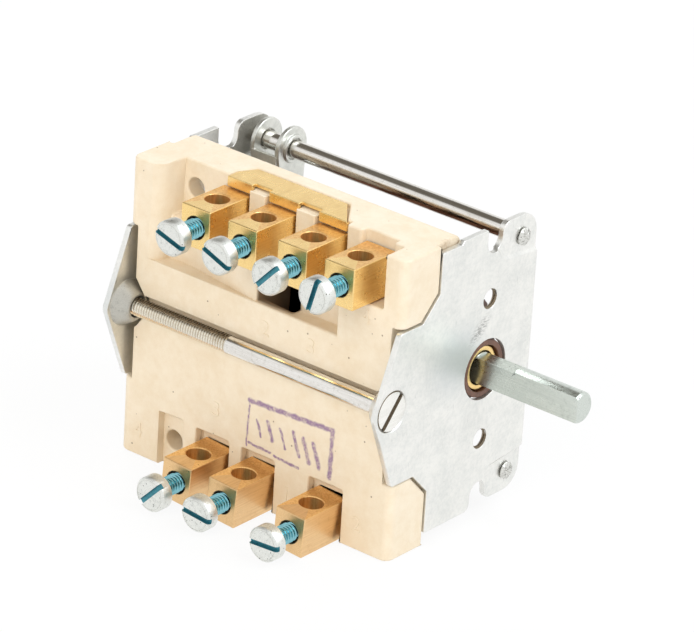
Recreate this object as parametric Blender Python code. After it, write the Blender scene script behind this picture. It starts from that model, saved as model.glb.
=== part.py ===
"""Rotary heat control switch: ceramic body, two steel plates, cam shaft and brass terminals.

Sizes are millimetres in the switch's own axes: x to the right seen from the shaft end,
y into the switch from the front plate, z up, with the shaft axis at x = z = 0 and the
front face of the front plate at y = 0. Every mesh is written in metres, moved so that
the bounding box is centred in x and y and stands on z = 0.
"""
import math

import bmesh
import bpy
from mathutils import Matrix, Vector

MM = 0.001
GAP = 0.3                       # clearance between neighbouring pieces
PAST = 5.0                      # how far a cut runs past what it cuts

# Middles of the upper terminals, counted from the front, and the bay behind them
SEAT_4_Y = 10.95
PITCH_3_TO_4 = 10.85
PITCH_2_TO_3 = 11.7
PITCH_1_TO_2 = 11.0
REAR_BAY = 20.3                 # spare seat and detent, up to the rear end of the body
LOW_SET_FORWARD = 2.1           # the lower terminals sit this much nearer the front

# Ceramic body, from the open cam side to the terminal side
BODY_BACK_X = -8.0
CAVITY_DEPTH = 6.6
SEAT_WALL = 3.6                 # between the cam cavity and the upper seats
SEAT_DEPTH = 6.8
BODY_FRONT_Y = 0.2
BODY_TOP_Z = 28.8
BODY_BOTTOM_Z = -30.6
BODY_CORNER_R = 1.8
BODY_EDGE_R = 0.5
BODY_BACK_EDGE_R = 1.8
FOOT_RISE = 2.3
CAVITY_FRONT_WALL = 3.3
CAVITY_REAR_WALL = 3.5
CAVITY_TOP_WALL = 4.3
CAVITY_BOTTOM_WALL = 5.1
SEAT_FRONT_WALL = 4.6
SEAT_REAR_WALL = 7.2
SEAT_REAR_ROUND = 2.6
RIB_DEPTH = 1.7
RIB_ABOVE_BLOCK = 1.4
LEDGE_HEIGHT = 8.4
LEDGE_STEP = 3.4                # the ledge wall stands this far out of the seats' back wall
LEDGE_PAST_SEAT_4 = 4.05
LEDGE_LEAST_DEPTH = 0.4         # beside the window, on its rear side
LEDGE_SLANT = 18.0              # from there to the full depth
WINDOW_PAST_SEAT_3 = 4.55
WINDOW_PAST_SEAT_2 = 0.6
WINDOW_INTO_LEDGE = 1.5
WINDOW_SILL_DROP = 5.4
WINDOW_LINTEL = 1.0
SPARE_SEAT_PAST_1 = 5.1
SPARE_SEAT_WIDTH = 5.9
SPARE_SEAT_DEPTH = 1.7
SPARE_SEAT_HEIGHT = 11.0
SPARE_HOLE_D = 3.9
SPARE_HOLE_LOW_PAST_1 = 8.5
SPARE_HOLE_LOW_Z = -25.4
SPARE_HOLE_LOW_END = 8.2        # blind end, from the spare seat's floor
SPARE_HOLE_HIGH_PAST_1 = 10.4
SPARE_HOLE_HIGH_Z = 23.4
LOW_SEAT_ABOVE_BLOCK = 2.35
LOW_SEAT_SIDE = 0.6
LOW_SEAT_DEPTH = 2.3
RELIEF_SIDE = 0.5
COLLAR_RELIEF_END = 1.0
COLLAR_RELIEF_RUN = 2.4
DIMPLE_RELIEF_END = 2.0

# Steel plates, one outline for both
PLATE_T = 1.2
PLATE_LEFT_X = -14.8
PLATE_TOP_Z = 28.0
PLATE_CORNER_R = 0.3
PLATE_LOW_CORNER_R = 1.4
EAR_DROP = 0.3
STEP_X = -9.4
STEP_DROP = 0.6
TAB_PAST_SCREW = 5.4
TAB_APEX_R = 1.8
TAB_CORNER_R = 0.8
TAB_CORNER_FROM_SCREW = 0.6
TAB_INNER_FROM_SCREW = 6.7
TAB_HALF = 15.05
TAB_RECESS_EXTRA = 1.0
CHAMFER_Z = 19.5
SLOT_CENTRE_X = 0.65
SLOT_WIDTH = 5.0
SLOT_LENGTH = 5.1
EAR_CORNER_R = 4.2
EAR_INNER_CORNER_R = 1.8
EAR_SET_BACK = 0.5
EAR_BESIDE_ROD = 4.2
EAR_JOG_X = 3.5
EAR_JOG_BELOW_ROD = 3.0
EAR_JOG_WIDTH = 0.6
MOUNT_PITCH = 28.0
MOUNT_HOLE_D = 3.9

# Rods, tie screw and its collar
ROD_X = 8.9
ROD_BELOW_EAR = 4.2
ROD_D = 3.5
RIVET_D = 2.4
RIVET_HEAD_D = 3.3
RIVET_HEAD_T = 0.6
RIVET_EDGE = 0.4
TIE_FROM_FACE = 0.9
TIE_D = 3.5
TIE_HEAD_D = 7.6
TIE_HEAD_T = 2.2
TIE_HEAD_EDGE = 0.15
TIE_SINK = 0.45                 # the head lies this deep in the pressed dish
TIE_SLOT_W = 0.9
TIE_SLOT_T = 0.9
TIE_SLOT_DEG = 50.0
TIE_END_PAST_PLATE = 0.6
TIE_SIDE = 0.3
TIE_BACK = 0.65
DISH_D = 12.0
DIMPLE_SIDE = 0.9
DIMPLE_TIP_WALL = 1.0
DIMPLE_TIP_T = 0.4
COLLAR_BASE_D = 9.0
COLLAR_TIP_D = 6.2
COLLAR_LENGTH = 2.9
COLLAR_SHOULDER = 1.0
COLLAR_EDGE = 0.6

# Shaft and cam drum
SHAFT_D = 6.0
SHAFT_FLAT_X = -1.6
SHAFT_OUT = 22.2
SHAFT_CHAMFER = 0.5
SHAFT_END_EDGE = 0.3
SHAFT_TOP_FLAT_Z = 2.45
SHAFT_TOP_FLAT_LENGTH = 7.6
SHAFT_REAR_PAST_PLATE = 1.8
GROOVE_D = 4.6
GROOVE_EXTRA = 0.2
CLIP_D = 9.6
CLIP_T = 0.8
SLEEVE_D = 8.4
SLEEVE_LENGTH = 3.4
SLEEVE_FRONT_Y = 0.9
HUB_WALL = 1.4
HUB_NECK = 1.2
HUB_FRONT_Y = 0.4
HUB_COLLAR_Y = 3.0
CORE_D = 14.0
CAM_CLEARANCE = 0.6
CAM_NOTCH_DEPTH = 1.7
CAM_NOTCH_HALF_DEG = 35.0
CAM_WIDTH = 6.6
STAR_T = 2.8
STAR_D = 22.6
STAR_VALLEY = 1.3
STAR_STEPS = 4

# Detent lever on the top rod
LEVER_EAR_R = 4.2
LEVER_T = 1.0
LEVER_PITCH = 6.0
LEVER_FROM_REAR_PLATE = 1.3     # from the pin's end to the plate
LEVER_COLLAR_D = 5.6
LEVER_COLLAR_T = 0.6
LEVER_WEB_T = 0.9
LEVER_WEB_BELOW_ROD = 3.2
LEVER_WEB_HEIGHT = 2.3
LEVER_SINK = 0.4                # how far joined pieces reach into each other
ROLLER_D = 6.0
ROLLER_X = 9.9
ROLLER_EDGE = 0.4
ROLLER_PIN_D = 2.2
ROLLER_PIN_HEAD = 0.5
ROLLER_PIN_HEAD_T = 0.4
ROLLER_PIN_OUT = 0.7
ROLLER_END_R = 2.4
TAIL_END_R = 1.5
SPRING_POST_D = 1.8
SPRING_POST_BELOW_ROLLER = 2.35
SPRING_POST_BESIDE_ROLLER = 1.0
SPRING_BEFORE_LEVER = 2.2
SPRING_WIRE_D = 0.6
SPRING_COIL_D = 3.4
SPRING_HOOK = 2.4
SPRING_TURNS = 13

# Brass terminals and clamp screws
BLOCK_WIDTH = 6.8
BLOCK_HEIGHT = 8.0
BLOCK_LENGTH = 11.7
BLOCK_CHAMFER = 0.25
HIGH_BELOW_TOP = 2.3
LOW_ABOVE_BOTTOM = 0.3
LOW_ROLL_DEG = 3.6
WIRE_HOLE_D = 4.6
WIRE_HOLE_FROM_END = 5.8
SCREW_HOLE_CLEARANCE = 0.7
TANG_WIDTH = 5.0
TANG_T = 1.2
TANG_ROOT = 2.0
LOW_TANG_BELOW_TOP = 1.3
LOW_TANG_BEHIND_LEAF = 0.5
HIGH_TANG_BEHIND_LEAF = 0.4
SCREW_D = 3.7
SCREW_POINT = 0.5
HEAD_D = 6.8
HEAD_T = 2.6
HEAD_EDGE = 0.35
HEAD_SLOT_W = 1.0
HEAD_SLOT_T = 1.2
SCREW_BACKED_OUT = 4.6
SCREW_TIP_IN = 3.3
HIGH_SLOT_DEG = (-16.7, -20.6, 47.0, 74.5)
LOW_SLOT_DEG = (46.0, -5.1, 3.6)

# Busbar over the first three upper terminals
BAR_T = 0.7
BAR_WIDTH = 6.4
BAR_OVER_SEATS = 0.9
BAR_PAST_SEAT_1 = 2.3
BAR_PAST_SEAT_3 = 3.1
BAR_REAR_CUT = 1.8
BAR_REAR_CUT_X = 3.0
BAR_FRONT_CUT = 5.2
BAR_BELOW_TOP = 0.05
BAR_LIP_FRONT = 3.6             # reach of a lip before and behind its terminal's middle
BAR_LIP_REAR = 3.4
BAR_NOTCH = 1.1

# Contact leaves between the cams and the terminals
LEAF_WIDTH = 4.6
LEAF_T = 0.5
LEAF_FOOT_GAP = 0.3
LEAF_JOG = 1.0
LEAF_END_GAP = 0.9
LEAF_FOOT_LENGTH = 8.6
LEAF_BEND_LENGTH = 4.0

# Places that follow from the sizes above
SEAT_3_Y = SEAT_4_Y + PITCH_3_TO_4
SEAT_2_Y = SEAT_3_Y + PITCH_2_TO_3
SEAT_1_Y = SEAT_2_Y + PITCH_1_TO_2
HIGH_SEATS_Y = (SEAT_1_Y, SEAT_2_Y, SEAT_3_Y, SEAT_4_Y)
LOW_SEATS_Y = (SEAT_1_Y - LOW_SET_FORWARD, SEAT_2_Y - LOW_SET_FORWARD,
               (SEAT_3_Y + SEAT_4_Y - LOW_SET_FORWARD) / 2)
BODY_REAR_Y = SEAT_1_Y + REAR_BAY
REAR_PLATE_Y = BODY_REAR_Y + BODY_FRONT_Y - PLATE_T
SHAFT_REAR_Y = REAR_PLATE_Y + PLATE_T + SHAFT_REAR_PAST_PLATE
CAVITY_FLOOR_X = BODY_BACK_X - CAVITY_DEPTH
SEAT_BACK_X = CAVITY_FLOOR_X - SEAT_WALL
BODY_FACE_X = SEAT_BACK_X - SEAT_DEPTH
FOOT_BACK_X = PLATE_LEFT_X - GAP
HIGH_TOP_Z = BODY_TOP_Z - HIGH_BELOW_TOP
SEAT_FLOOR_Z = HIGH_TOP_Z - BLOCK_HEIGHT - GAP
LEDGE_Z = SEAT_FLOOR_Z - LEDGE_HEIGHT
LOW_TOP_Z = BODY_BOTTOM_Z + LOW_ABOVE_BOTTOM + BLOCK_HEIGHT
LOW_SEAT_TOP_Z = LOW_TOP_Z + LOW_SEAT_ABOVE_BLOCK
LOW_FLOOR_X = BODY_FACE_X + LOW_SEAT_DEPTH
HIGH_OUTER_X = SEAT_BACK_X - GAP - BLOCK_LENGTH
LOW_OUTER_X = LOW_FLOOR_X - GAP - BLOCK_LENGTH
REACH_X = LOW_OUTER_X - SCREW_BACKED_OUT - HEAD_T
BAR_TOP_Z = BODY_TOP_Z - BAR_BELOW_TOP
BAR_OUTER_X = SEAT_BACK_X - BAR_OVER_SEATS
BAR_REAR_Y = SEAT_1_Y + BAR_PAST_SEAT_1
BAR_FRONT_Y = SEAT_3_Y - BAR_PAST_SEAT_3
LEAF_FOOT_X = CAVITY_FLOOR_X + LEAF_FOOT_GAP
LEAF_X = LEAF_FOOT_X + LEAF_JOG
CAM_R = -(LEAF_X + LEAF_T) - CAM_CLEARANCE
TIE_X = BODY_FACE_X - TIE_FROM_FACE
COLLAR_FRONT_Y = REAR_PLATE_Y - COLLAR_LENGTH
DIMPLE_R = TIE_HEAD_D / 2 + DIMPLE_SIDE
DIMPLE_SHOULDER_Y = PLATE_T + TIE_SINK / 2
DIMPLE_TIP_Y = TIE_SINK + TIE_HEAD_T + GAP + DIMPLE_TIP_T
TAB_APEX_X = TIE_X - TAB_PAST_SCREW
TAB_CORNER_X = TIE_X + TAB_CORNER_FROM_SCREW
TAB_INNER_X = TIE_X + TAB_INNER_FROM_SCREW
EAR_TOP_Z = PLATE_TOP_Z - EAR_DROP
ROD_Z = EAR_TOP_Z - ROD_BELOW_EAR
PLATE_RIGHT_X = ROD_X + EAR_BESIDE_ROD
HUB_D = SLEEVE_D + 2 * HUB_WALL
HUB_HOLE_D = HUB_D + 2 * GAP
NECK_R = HUB_D / 2 - HUB_NECK
LEVER_FRONT_Y = REAR_PLATE_Y - LEVER_FROM_REAR_PLATE - ROLLER_PIN_OUT - LEVER_T - LEVER_PITCH
STAR_MIDDLE_Y = LEVER_FRONT_Y + (LEVER_PITCH + LEVER_T) / 2
STAR_Y = (STAR_MIDDLE_Y - STAR_T / 2, STAR_MIDDLE_Y + STAR_T / 2)
STAR_R = STAR_D / 2
ROLLER_Z = math.sqrt((STAR_R + ROLLER_D / 2 + GAP) ** 2 - ROLLER_X ** 2)
SPRING_POST_X = ROLLER_X + SPRING_POST_BESIDE_ROLLER
SPRING_POST_Z = ROLLER_Z - SPRING_POST_BELOW_ROLLER
SPRING_Y = LEVER_FRONT_Y - SPRING_BEFORE_LEVER
ORIGIN = Vector(((REACH_X + PLATE_RIGHT_X) / 2, (SHAFT_REAR_Y - SHAFT_OUT) / 2, BODY_BOTTOM_Z))


# Mesh helpers
def place(axis, a, b, along):
    """Gives a point from two outline coordinates and the distance along the axis."""
    if axis == "X":
        return Vector((along, a, b))
    if axis == "Y":
        return Vector((a, along, b))
    return Vector((a, b, along))


def tidy(bm):
    bmesh.ops.remove_doubles(bm, verts=bm.verts, dist=1e-4)
    bmesh.ops.recalc_face_normals(bm, faces=bm.faces)
    return bm


def prism(axis, outline, low, high):
    """Extrudes a closed outline along one axis."""
    bm = bmesh.new()
    first = [bm.verts.new(place(axis, a, b, low)) for a, b in outline]
    last = [bm.verts.new(place(axis, a, b, high)) for a, b in outline]
    bm.faces.new(first)
    bm.faces.new(last)
    count = len(outline)
    for i in range(count):
        j = (i + 1) % count
        bm.faces.new((first[i], first[j], last[j], last[i]))
    return tidy(bm)


def box(x, y, z):
    return prism("Z", [(x[0], y[0]), (x[1], y[0]), (x[1], y[1]), (x[0], y[1])], z[0], z[1])


def circle(centre, radius, segments, start=0.0):
    return [(centre[0] + radius * math.cos(start + 2 * math.pi * i / segments),
             centre[1] + radius * math.sin(start + 2 * math.pi * i / segments))
            for i in range(segments)]


def cylinder(axis, centre, diameter, low, high, segments=32):
    return prism(axis, circle(centre, diameter / 2, segments), low, high)


def turned(axis, centre, profile, segments=32):
    """Turns a profile of (radius, distance along) pairs into a closed round solid."""
    bm = bmesh.new()
    rings = []
    for radius, along in profile:
        rings.append([bm.verts.new(place(axis, a, b, along))
                      for a, b in circle(centre, radius, segments)])
    for lower, upper in zip(rings, rings[1:]):
        for i in range(segments):
            j = (i + 1) % segments
            bm.faces.new((lower[i], lower[j], upper[j], upper[i]))
    bm.faces.new(rings[0])
    bm.faces.new(rings[-1])
    return tidy(bm)


def rounded(points):
    """Replaces each corner (a, b, radius) with an arc; radius 0 keeps it sharp."""
    outline = []
    count = len(points)
    for i in range(count):
        corner = Vector(points[i][:2])
        radius = points[i][2]
        if radius <= 0:
            outline.append(tuple(corner))
            continue
        before = (Vector(points[i - 1][:2]) - corner).normalized()
        after = (Vector(points[(i + 1) % count][:2]) - corner).normalized()
        half = before.angle(after) / 2
        centre = corner + (before + after).normalized() * (radius / math.sin(half))
        start = corner + before * (radius / math.tan(half)) - centre
        sweep = math.pi - 2 * half
        sign = 1 if before.x * after.y - before.y * after.x < 0 else -1
        steps = max(2, round(sweep / math.radians(18)))
        for k in range(steps + 1):
            angle = sign * sweep * k / steps
            turn = Matrix.Rotation(angle, 2)
            outline.append(tuple(centre + turn @ start))
    return outline


def mesh_object(name, bm):
    mesh = bpy.data.meshes.new(name)
    bm.to_mesh(mesh)
    bm.free()
    thing = bpy.data.objects.new(name, mesh)
    bpy.context.scene.collection.objects.link(thing)
    return thing


def combine(operation, base, others):
    """Runs exact booleans of the base mesh with each other mesh in turn."""
    target = mesh_object("target", base)
    for other in others:
        tool = mesh_object("tool", other)
        modifier = target.modifiers.new("shape", "BOOLEAN")
        modifier.operation = operation
        modifier.solver = "EXACT"
        modifier.object = tool
        bpy.context.view_layer.update()
        graph = bpy.context.evaluated_depsgraph_get()
        result = bpy.data.meshes.new_from_object(target.evaluated_get(graph))
        target.modifiers.clear()
        target.data = result
        bpy.data.objects.remove(tool)
    bm = bmesh.new()
    bm.from_mesh(target.data)
    bpy.data.objects.remove(target)
    return tidy(bm)


def cut(base, *others):
    return combine("DIFFERENCE", base, others)


def join(base, *others):
    return combine("UNION", base, others)


def bevel(bm, keep, width, segments):
    """Bevels the edges for which keep(first vertex, second vertex) holds."""
    edges = [e for e in bm.edges if keep(e.verts[0].co, e.verts[1].co)]
    bmesh.ops.bevel(bm, geom=edges, offset=width, segments=segments, profile=0.5,
                    affect="EDGES", clamp_overlap=True)
    return bm


# Finishes
def material(name, colour, metallic, roughness):
    finish = bpy.data.materials.new(name)
    finish.use_nodes = True
    shader = finish.node_tree.nodes["Principled BSDF"]
    shader.inputs["Base Color"].default_value = (*colour, 1.0)
    shader.inputs["Metallic"].default_value = metallic
    shader.inputs["Roughness"].default_value = roughness
    finish.diffuse_color = (*colour, 1.0)
    return finish


def add_node(name, bm, finish, pivot=(0.0, 0.0, 0.0)):
    """Writes one finished piece, its origin on the given pivot."""
    centre = Vector(pivot)
    bmesh.ops.translate(bm, verts=bm.verts, vec=-centre)
    bmesh.ops.scale(bm, verts=bm.verts, vec=(MM, MM, MM))
    thing = mesh_object(name, bm)
    thing.location = (centre - ORIGIN) * MM
    thing.data.materials.append(material(name + "_finish", *finish))
    for face in thing.data.polygons:
        face.use_smooth = True
    thing.data.set_sharp_from_angle(angle=math.radians(32))
    return thing


CERAMIC = ((0.83, 0.76, 0.62), 0.0, 0.55)
PLATED = ((0.62, 0.63, 0.62), 1.0, 0.38)
BRIGHT = ((0.74, 0.75, 0.75), 1.0, 0.22)
BRASS = ((0.80, 0.58, 0.24), 1.0, 0.32)
BROWN = ((0.20, 0.08, 0.04), 0.0, 0.5)
SCREW = ((0.66, 0.70, 0.70), 1.0, 0.3)
SPRING_STEEL = ((0.45, 0.45, 0.44), 1.0, 0.35)
LEAF_BRONZE = ((0.70, 0.48, 0.30), 1.0, 0.35)


# Ceramic body
def body_blank():
    outline = rounded([(BODY_FACE_X, BODY_FRONT_Y, BODY_CORNER_R), (BODY_BACK_X, BODY_FRONT_Y, 0),
                       (BODY_BACK_X, BODY_REAR_Y, 0), (BODY_FACE_X, BODY_REAR_Y, BODY_CORNER_R)])
    blank = prism("Z", outline, BODY_BOTTOM_Z, BODY_TOP_Z)
    limits = (BODY_BOTTOM_Z, BODY_TOP_Z)
    return bevel(blank, lambda a, b: any(abs(a.z - z) < 0.01 and abs(b.z - z) < 0.01 for z in limits),
                 BODY_EDGE_R, 2)


def plate_recess(low, high):
    """The sunk seat for a plate, cut right through at the sides."""
    side = BODY_TOP_Z - BODY_BOTTOM_Z
    edge = PLATE_LEFT_X - GAP
    outline = [(-side, -TAB_HALF - GAP), (TAB_INNER_X - GAP, -TAB_HALF - GAP), (edge, -CHAMFER_Z - GAP),
               (edge, -side), (0, -side), (0, side), (edge, side), (edge, CHAMFER_Z + GAP),
               (TAB_INNER_X - GAP, TAB_HALF + GAP), (-side, TAB_HALF + GAP)]
    return prism("Y", outline, low, high)


def bar_outline(clearance):
    """The busbar seen from above, with its cut corners."""
    inner = BAR_OUTER_X + BAR_WIDTH
    return [(BAR_OUTER_X - clearance, BAR_FRONT_Y - clearance),
            (inner + clearance, BAR_FRONT_Y + BAR_FRONT_CUT - clearance * 1.6),
            (inner + clearance, BAR_REAR_Y - BAR_REAR_CUT + clearance * 0.6),
            (BAR_OUTER_X + BAR_REAR_CUT_X, BAR_REAR_Y + clearance),
            (BAR_OUTER_X - clearance, BAR_REAR_Y + clearance)]


def seat_corner(seat_rear):
    """Cutter that rounds the outer edge of the seats' rear wall."""
    far = BODY_FACE_X - PAST
    inner = BODY_FACE_X + SEAT_REAR_ROUND
    centre = (inner, seat_rear + SEAT_REAR_ROUND)
    arc = [(centre[0] - SEAT_REAR_ROUND * math.sin(math.radians(15 * k)),
            centre[1] - SEAT_REAR_ROUND * math.cos(math.radians(15 * k))) for k in range(7)]
    outline = [(far, seat_rear - PAST), (inner, seat_rear - PAST)] + arc + [(far, centre[1])]
    return prism("Z", outline, LEDGE_Z, BODY_TOP_Z + PAST)


def back_corner():
    """Cutter that rounds the top edge over the open cam side."""
    far = (BODY_BACK_X + PAST, BODY_TOP_Z + PAST)
    centre = (BODY_BACK_X - BODY_BACK_EDGE_R, BODY_TOP_Z - BODY_BACK_EDGE_R)
    arc = [(centre[0] + BODY_BACK_EDGE_R * math.sin(math.radians(22.5 * k)),
            centre[1] + BODY_BACK_EDGE_R * math.cos(math.radians(22.5 * k))) for k in range(5)]
    outline = [(centre[0], far[1])] + arc + [(far[0], centre[1]), far]
    return prism("Y", outline, BODY_FRONT_Y - PAST, BODY_REAR_Y + PAST)


def upper_seat_cutters():
    """The bay of the upper seats with its ribs, ledge, window and busbar bed."""
    far = HIGH_OUTER_X - PAST
    above = BODY_TOP_Z + PAST
    half = BLOCK_WIDTH / 2 + GAP
    tang = TANG_WIDTH / 2 + GAP
    seat_rear = BODY_REAR_Y - SEAT_REAR_WALL
    bay = (BODY_FRONT_Y + SEAT_FRONT_WALL, seat_rear)
    ledge = (SEAT_4_Y + LEDGE_PAST_SEAT_4, seat_rear)
    ledge_x = SEAT_BACK_X - LEDGE_STEP
    window = (SEAT_3_Y + WINDOW_PAST_SEAT_3, SEAT_2_Y + WINDOW_PAST_SEAT_2)
    rib_top = HIGH_TOP_Z + RIB_ABOVE_BLOCK
    through = (SEAT_BACK_X - PAST, CAVITY_FLOOR_X + GAP)
    ledge_outline = [(far, ledge[0]), (ledge_x, ledge[0]), (ledge_x, window[1]),
                     (BODY_FACE_X + LEDGE_LEAST_DEPTH, window[1]), (ledge_x, window[1] + LEDGE_SLANT),
                     (ledge_x, ledge[1]), (far, ledge[1])]
    cutters = [
        box((far, SEAT_BACK_X - RIB_DEPTH), bay, (SEAT_FLOOR_Z, above)),
        prism("Z", ledge_outline, LEDGE_Z, SEAT_FLOOR_Z + GAP),
        box((ledge_x - WINDOW_INTO_LEDGE, CAVITY_FLOOR_X + GAP), window,
            (LEDGE_Z - WINDOW_SILL_DROP, SEAT_FLOOR_Z - WINDOW_LINTEL)),
        prism("Z", bar_outline(GAP), BAR_TOP_Z - BAR_T - GAP, above),
        box((SEAT_BACK_X - RIB_DEPTH - GAP, SEAT_BACK_X), (BAR_FRONT_Y - GAP, BAR_REAR_Y + GAP),
            (rib_top, above)),
        cylinder("X", (SEAT_1_Y + SPARE_HOLE_HIGH_PAST_1, SPARE_HOLE_HIGH_Z), SPARE_HOLE_D, *through, 24),
        seat_corner(seat_rear),
    ]
    middle = HIGH_TOP_Z - BLOCK_HEIGHT / 2
    for seat_y in HIGH_SEATS_Y:
        rear = seat_rear if seat_y == SEAT_1_Y else seat_y + half
        cutters.append(box((far, SEAT_BACK_X), (seat_y - half, rear), (SEAT_FLOOR_Z, above)))
        cutters.append(box(through, (seat_y - tang, seat_y + tang),
                           (middle - TANG_T / 2 - GAP, middle + TANG_T / 2 + GAP)))
    return cutters


def lower_seat_cutters():
    """The lower seats, open at the bottom, and the spare one with its blind hole."""
    far = LOW_OUTER_X - PAST
    below = BODY_BOTTOM_Z - PAST
    half = BLOCK_WIDTH / 2 + LOW_SEAT_SIDE
    tang = TANG_WIDTH / 2 + 2 * GAP
    spare_x = BODY_FACE_X + SPARE_SEAT_DEPTH
    spare_y = SEAT_1_Y + SPARE_SEAT_PAST_1
    cutters = [
        box((far, spare_x), (spare_y, spare_y + SPARE_SEAT_WIDTH),
            (below, BODY_BOTTOM_Z + SPARE_SEAT_HEIGHT)),
        cylinder("X", (SEAT_1_Y + SPARE_HOLE_LOW_PAST_1, SPARE_HOLE_LOW_Z), SPARE_HOLE_D,
                 spare_x - GAP, spare_x + SPARE_HOLE_LOW_END - SPARE_SEAT_DEPTH, 24),
    ]
    middle = LOW_TOP_Z - LOW_TANG_BELOW_TOP
    for seat_y in LOW_SEATS_Y:
        cutters.append(box((far, LOW_FLOOR_X), (seat_y - half, seat_y + half), (below, LOW_SEAT_TOP_Z)))
        cutters.append(box((LOW_FLOOR_X - GAP, CAVITY_FLOOR_X + GAP), (seat_y - tang, seat_y + tang),
                           (middle - TANG_T / 2 - 2 * GAP, middle + TANG_T / 2 + 2 * GAP)))
    return cutters


def ceramic_body():
    far = TAB_APEX_X - PAST
    before = BODY_FRONT_Y - PAST
    behind = BODY_REAR_Y + PAST
    seat = PLATE_T + GAP
    rear_seat = REAR_PLATE_Y - GAP
    tab = (-TAB_HALF - GAP, TAB_HALF + GAP)
    channel = TIE_D / 2 + TIE_SIDE
    dimple_relief = DIMPLE_R + RELIEF_SIDE
    collar_relief = COLLAR_BASE_D / 2 + RELIEF_SIDE
    relief_y = COLLAR_FRONT_Y - COLLAR_RELIEF_END
    cutters = [
        box((FOOT_BACK_X, BODY_BACK_X + PAST), (before, behind),
            (BODY_BOTTOM_Z - PAST, BODY_BOTTOM_Z + FOOT_RISE)),
        plate_recess(before, seat),
        plate_recess(rear_seat, behind),
        box((far, TAB_INNER_X - TAB_RECESS_EXTRA), (before, seat + TAB_RECESS_EXTRA), tab),
        box((far, TAB_INNER_X - TAB_RECESS_EXTRA), (rear_seat - TAB_RECESS_EXTRA, behind), tab),
        box((far, TIE_X + TIE_D / 2 + TIE_BACK), (before, behind), (-channel, channel)),
        turned("Y", (TIE_X, 0), [(dimple_relief, before), (dimple_relief, DIMPLE_SHOULDER_Y),
                                 (TIE_D / 2, DIMPLE_TIP_Y + DIMPLE_RELIEF_END)], 20),
        turned("Y", (TIE_X, 0), [(TIE_D / 2, relief_y), (collar_relief, relief_y + COLLAR_RELIEF_RUN),
                                 (collar_relief, behind)], 20),
        back_corner(),
        box((CAVITY_FLOOR_X, BODY_BACK_X + PAST),
            (BODY_FRONT_Y + CAVITY_FRONT_WALL, BODY_REAR_Y - CAVITY_REAR_WALL),
            (BODY_BOTTOM_Z + CAVITY_BOTTOM_WALL, BODY_TOP_Z - CAVITY_TOP_WALL)),
    ]
    return cut(body_blank(), *cutters, *upper_seat_cutters(), *lower_seat_cutters())


# Steel plates
def slot_arc(sign):
    """Bottom of the open slot in the top or bottom edge, left to right for the top."""
    radius = SLOT_WIDTH / 2
    centre_z = PLATE_TOP_Z - SLOT_LENGTH + radius
    points = [(SLOT_CENTRE_X - radius * math.cos(math.pi * k / 10),
               sign * (centre_z - radius * math.sin(math.pi * k / 10)), 0) for k in range(11)]
    return points if sign > 0 else points[::-1]


def plate_outline():
    slot_left = SLOT_CENTRE_X - SLOT_WIDTH / 2
    slot_right = SLOT_CENTRE_X + SLOT_WIDTH / 2
    low = -PLATE_TOP_Z
    points = [(PLATE_LEFT_X, PLATE_TOP_Z - STEP_DROP, PLATE_CORNER_R), (STEP_X, PLATE_TOP_Z - STEP_DROP, 0),
              (STEP_X + STEP_DROP, PLATE_TOP_Z, 0), (slot_left, PLATE_TOP_Z, PLATE_CORNER_R)]
    points += slot_arc(1)
    points += [(slot_right, EAR_TOP_Z, EAR_INNER_CORNER_R), (PLATE_RIGHT_X, EAR_TOP_Z, EAR_CORNER_R),
               (PLATE_RIGHT_X, -EAR_TOP_Z, EAR_CORNER_R), (slot_right, -EAR_TOP_Z, EAR_INNER_CORNER_R)]
    points += slot_arc(-1)
    points += [(slot_left, low, PLATE_LOW_CORNER_R), (PLATE_LEFT_X, low, PLATE_CORNER_R),
               (PLATE_LEFT_X, -CHAMFER_Z, 0), (TAB_INNER_X, -TAB_HALF, 0),
               (TAB_CORNER_X, -TAB_HALF, TAB_CORNER_R), (TAB_APEX_X, 0, TAB_APEX_R),
               (TAB_CORNER_X, TAB_HALF, TAB_CORNER_R), (TAB_INNER_X, TAB_HALF, 0),
               (PLATE_LEFT_X, CHAMFER_Z, 0)]
    return rounded(points)


def set_back(bm, inward, sign):
    """Jogs one ear inward along two short bend lines that meet at a corner."""
    corner = Vector((EAR_JOG_X, 0, sign * (ROD_Z - EAR_JOG_BELOW_ROD)))
    across = Vector((0.1, 0, sign)).normalized()
    slanted = Vector((2.8, 0, sign * 2.6)).normalized()
    lines = [(corner, across), (corner, slanted), (corner, across - slanted),
             (corner + across * EAR_JOG_WIDTH, across), (corner + slanted * EAR_JOG_WIDTH, slanted)]
    for point, normal in lines:
        geometry = bm.verts[:] + bm.edges[:] + bm.faces[:]
        bmesh.ops.bisect_plane(bm, geom=geometry, dist=1e-5, plane_co=point, plane_no=normal)
    for vertex in bm.verts:
        flat = Vector((vertex.co.x, 0, vertex.co.z)) - corner
        past = min(flat.dot(across), flat.dot(slanted)) / EAR_JOG_WIDTH
        if vertex.co.x > 0 and past > 0:
            vertex.co.y += inward * EAR_SET_BACK * min(1.0, past)


def plate(face_y, inward):
    """A plate whose outer face is at face_y; inward is +1 or -1 along y."""
    blank = prism("Y", plate_outline(), *sorted((face_y, face_y + inward * PLATE_T)))
    for sign in (-1, 1):
        set_back(blank, inward, sign)
    low, high = face_y - PAST, face_y + PAST
    holes = [cylinder("Y", (0, 0), HUB_HOLE_D, low, high, 36)]
    for sign in (-1, 1):
        holes.append(cylinder("Y", (0, sign * MOUNT_PITCH / 2), MOUNT_HOLE_D, low, high, 20))
        holes.append(cylinder("Y", (ROD_X, sign * ROD_Z), RIVET_D + 2 * GAP, low, high, 14))
    return cut(blank, *holes)


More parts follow.
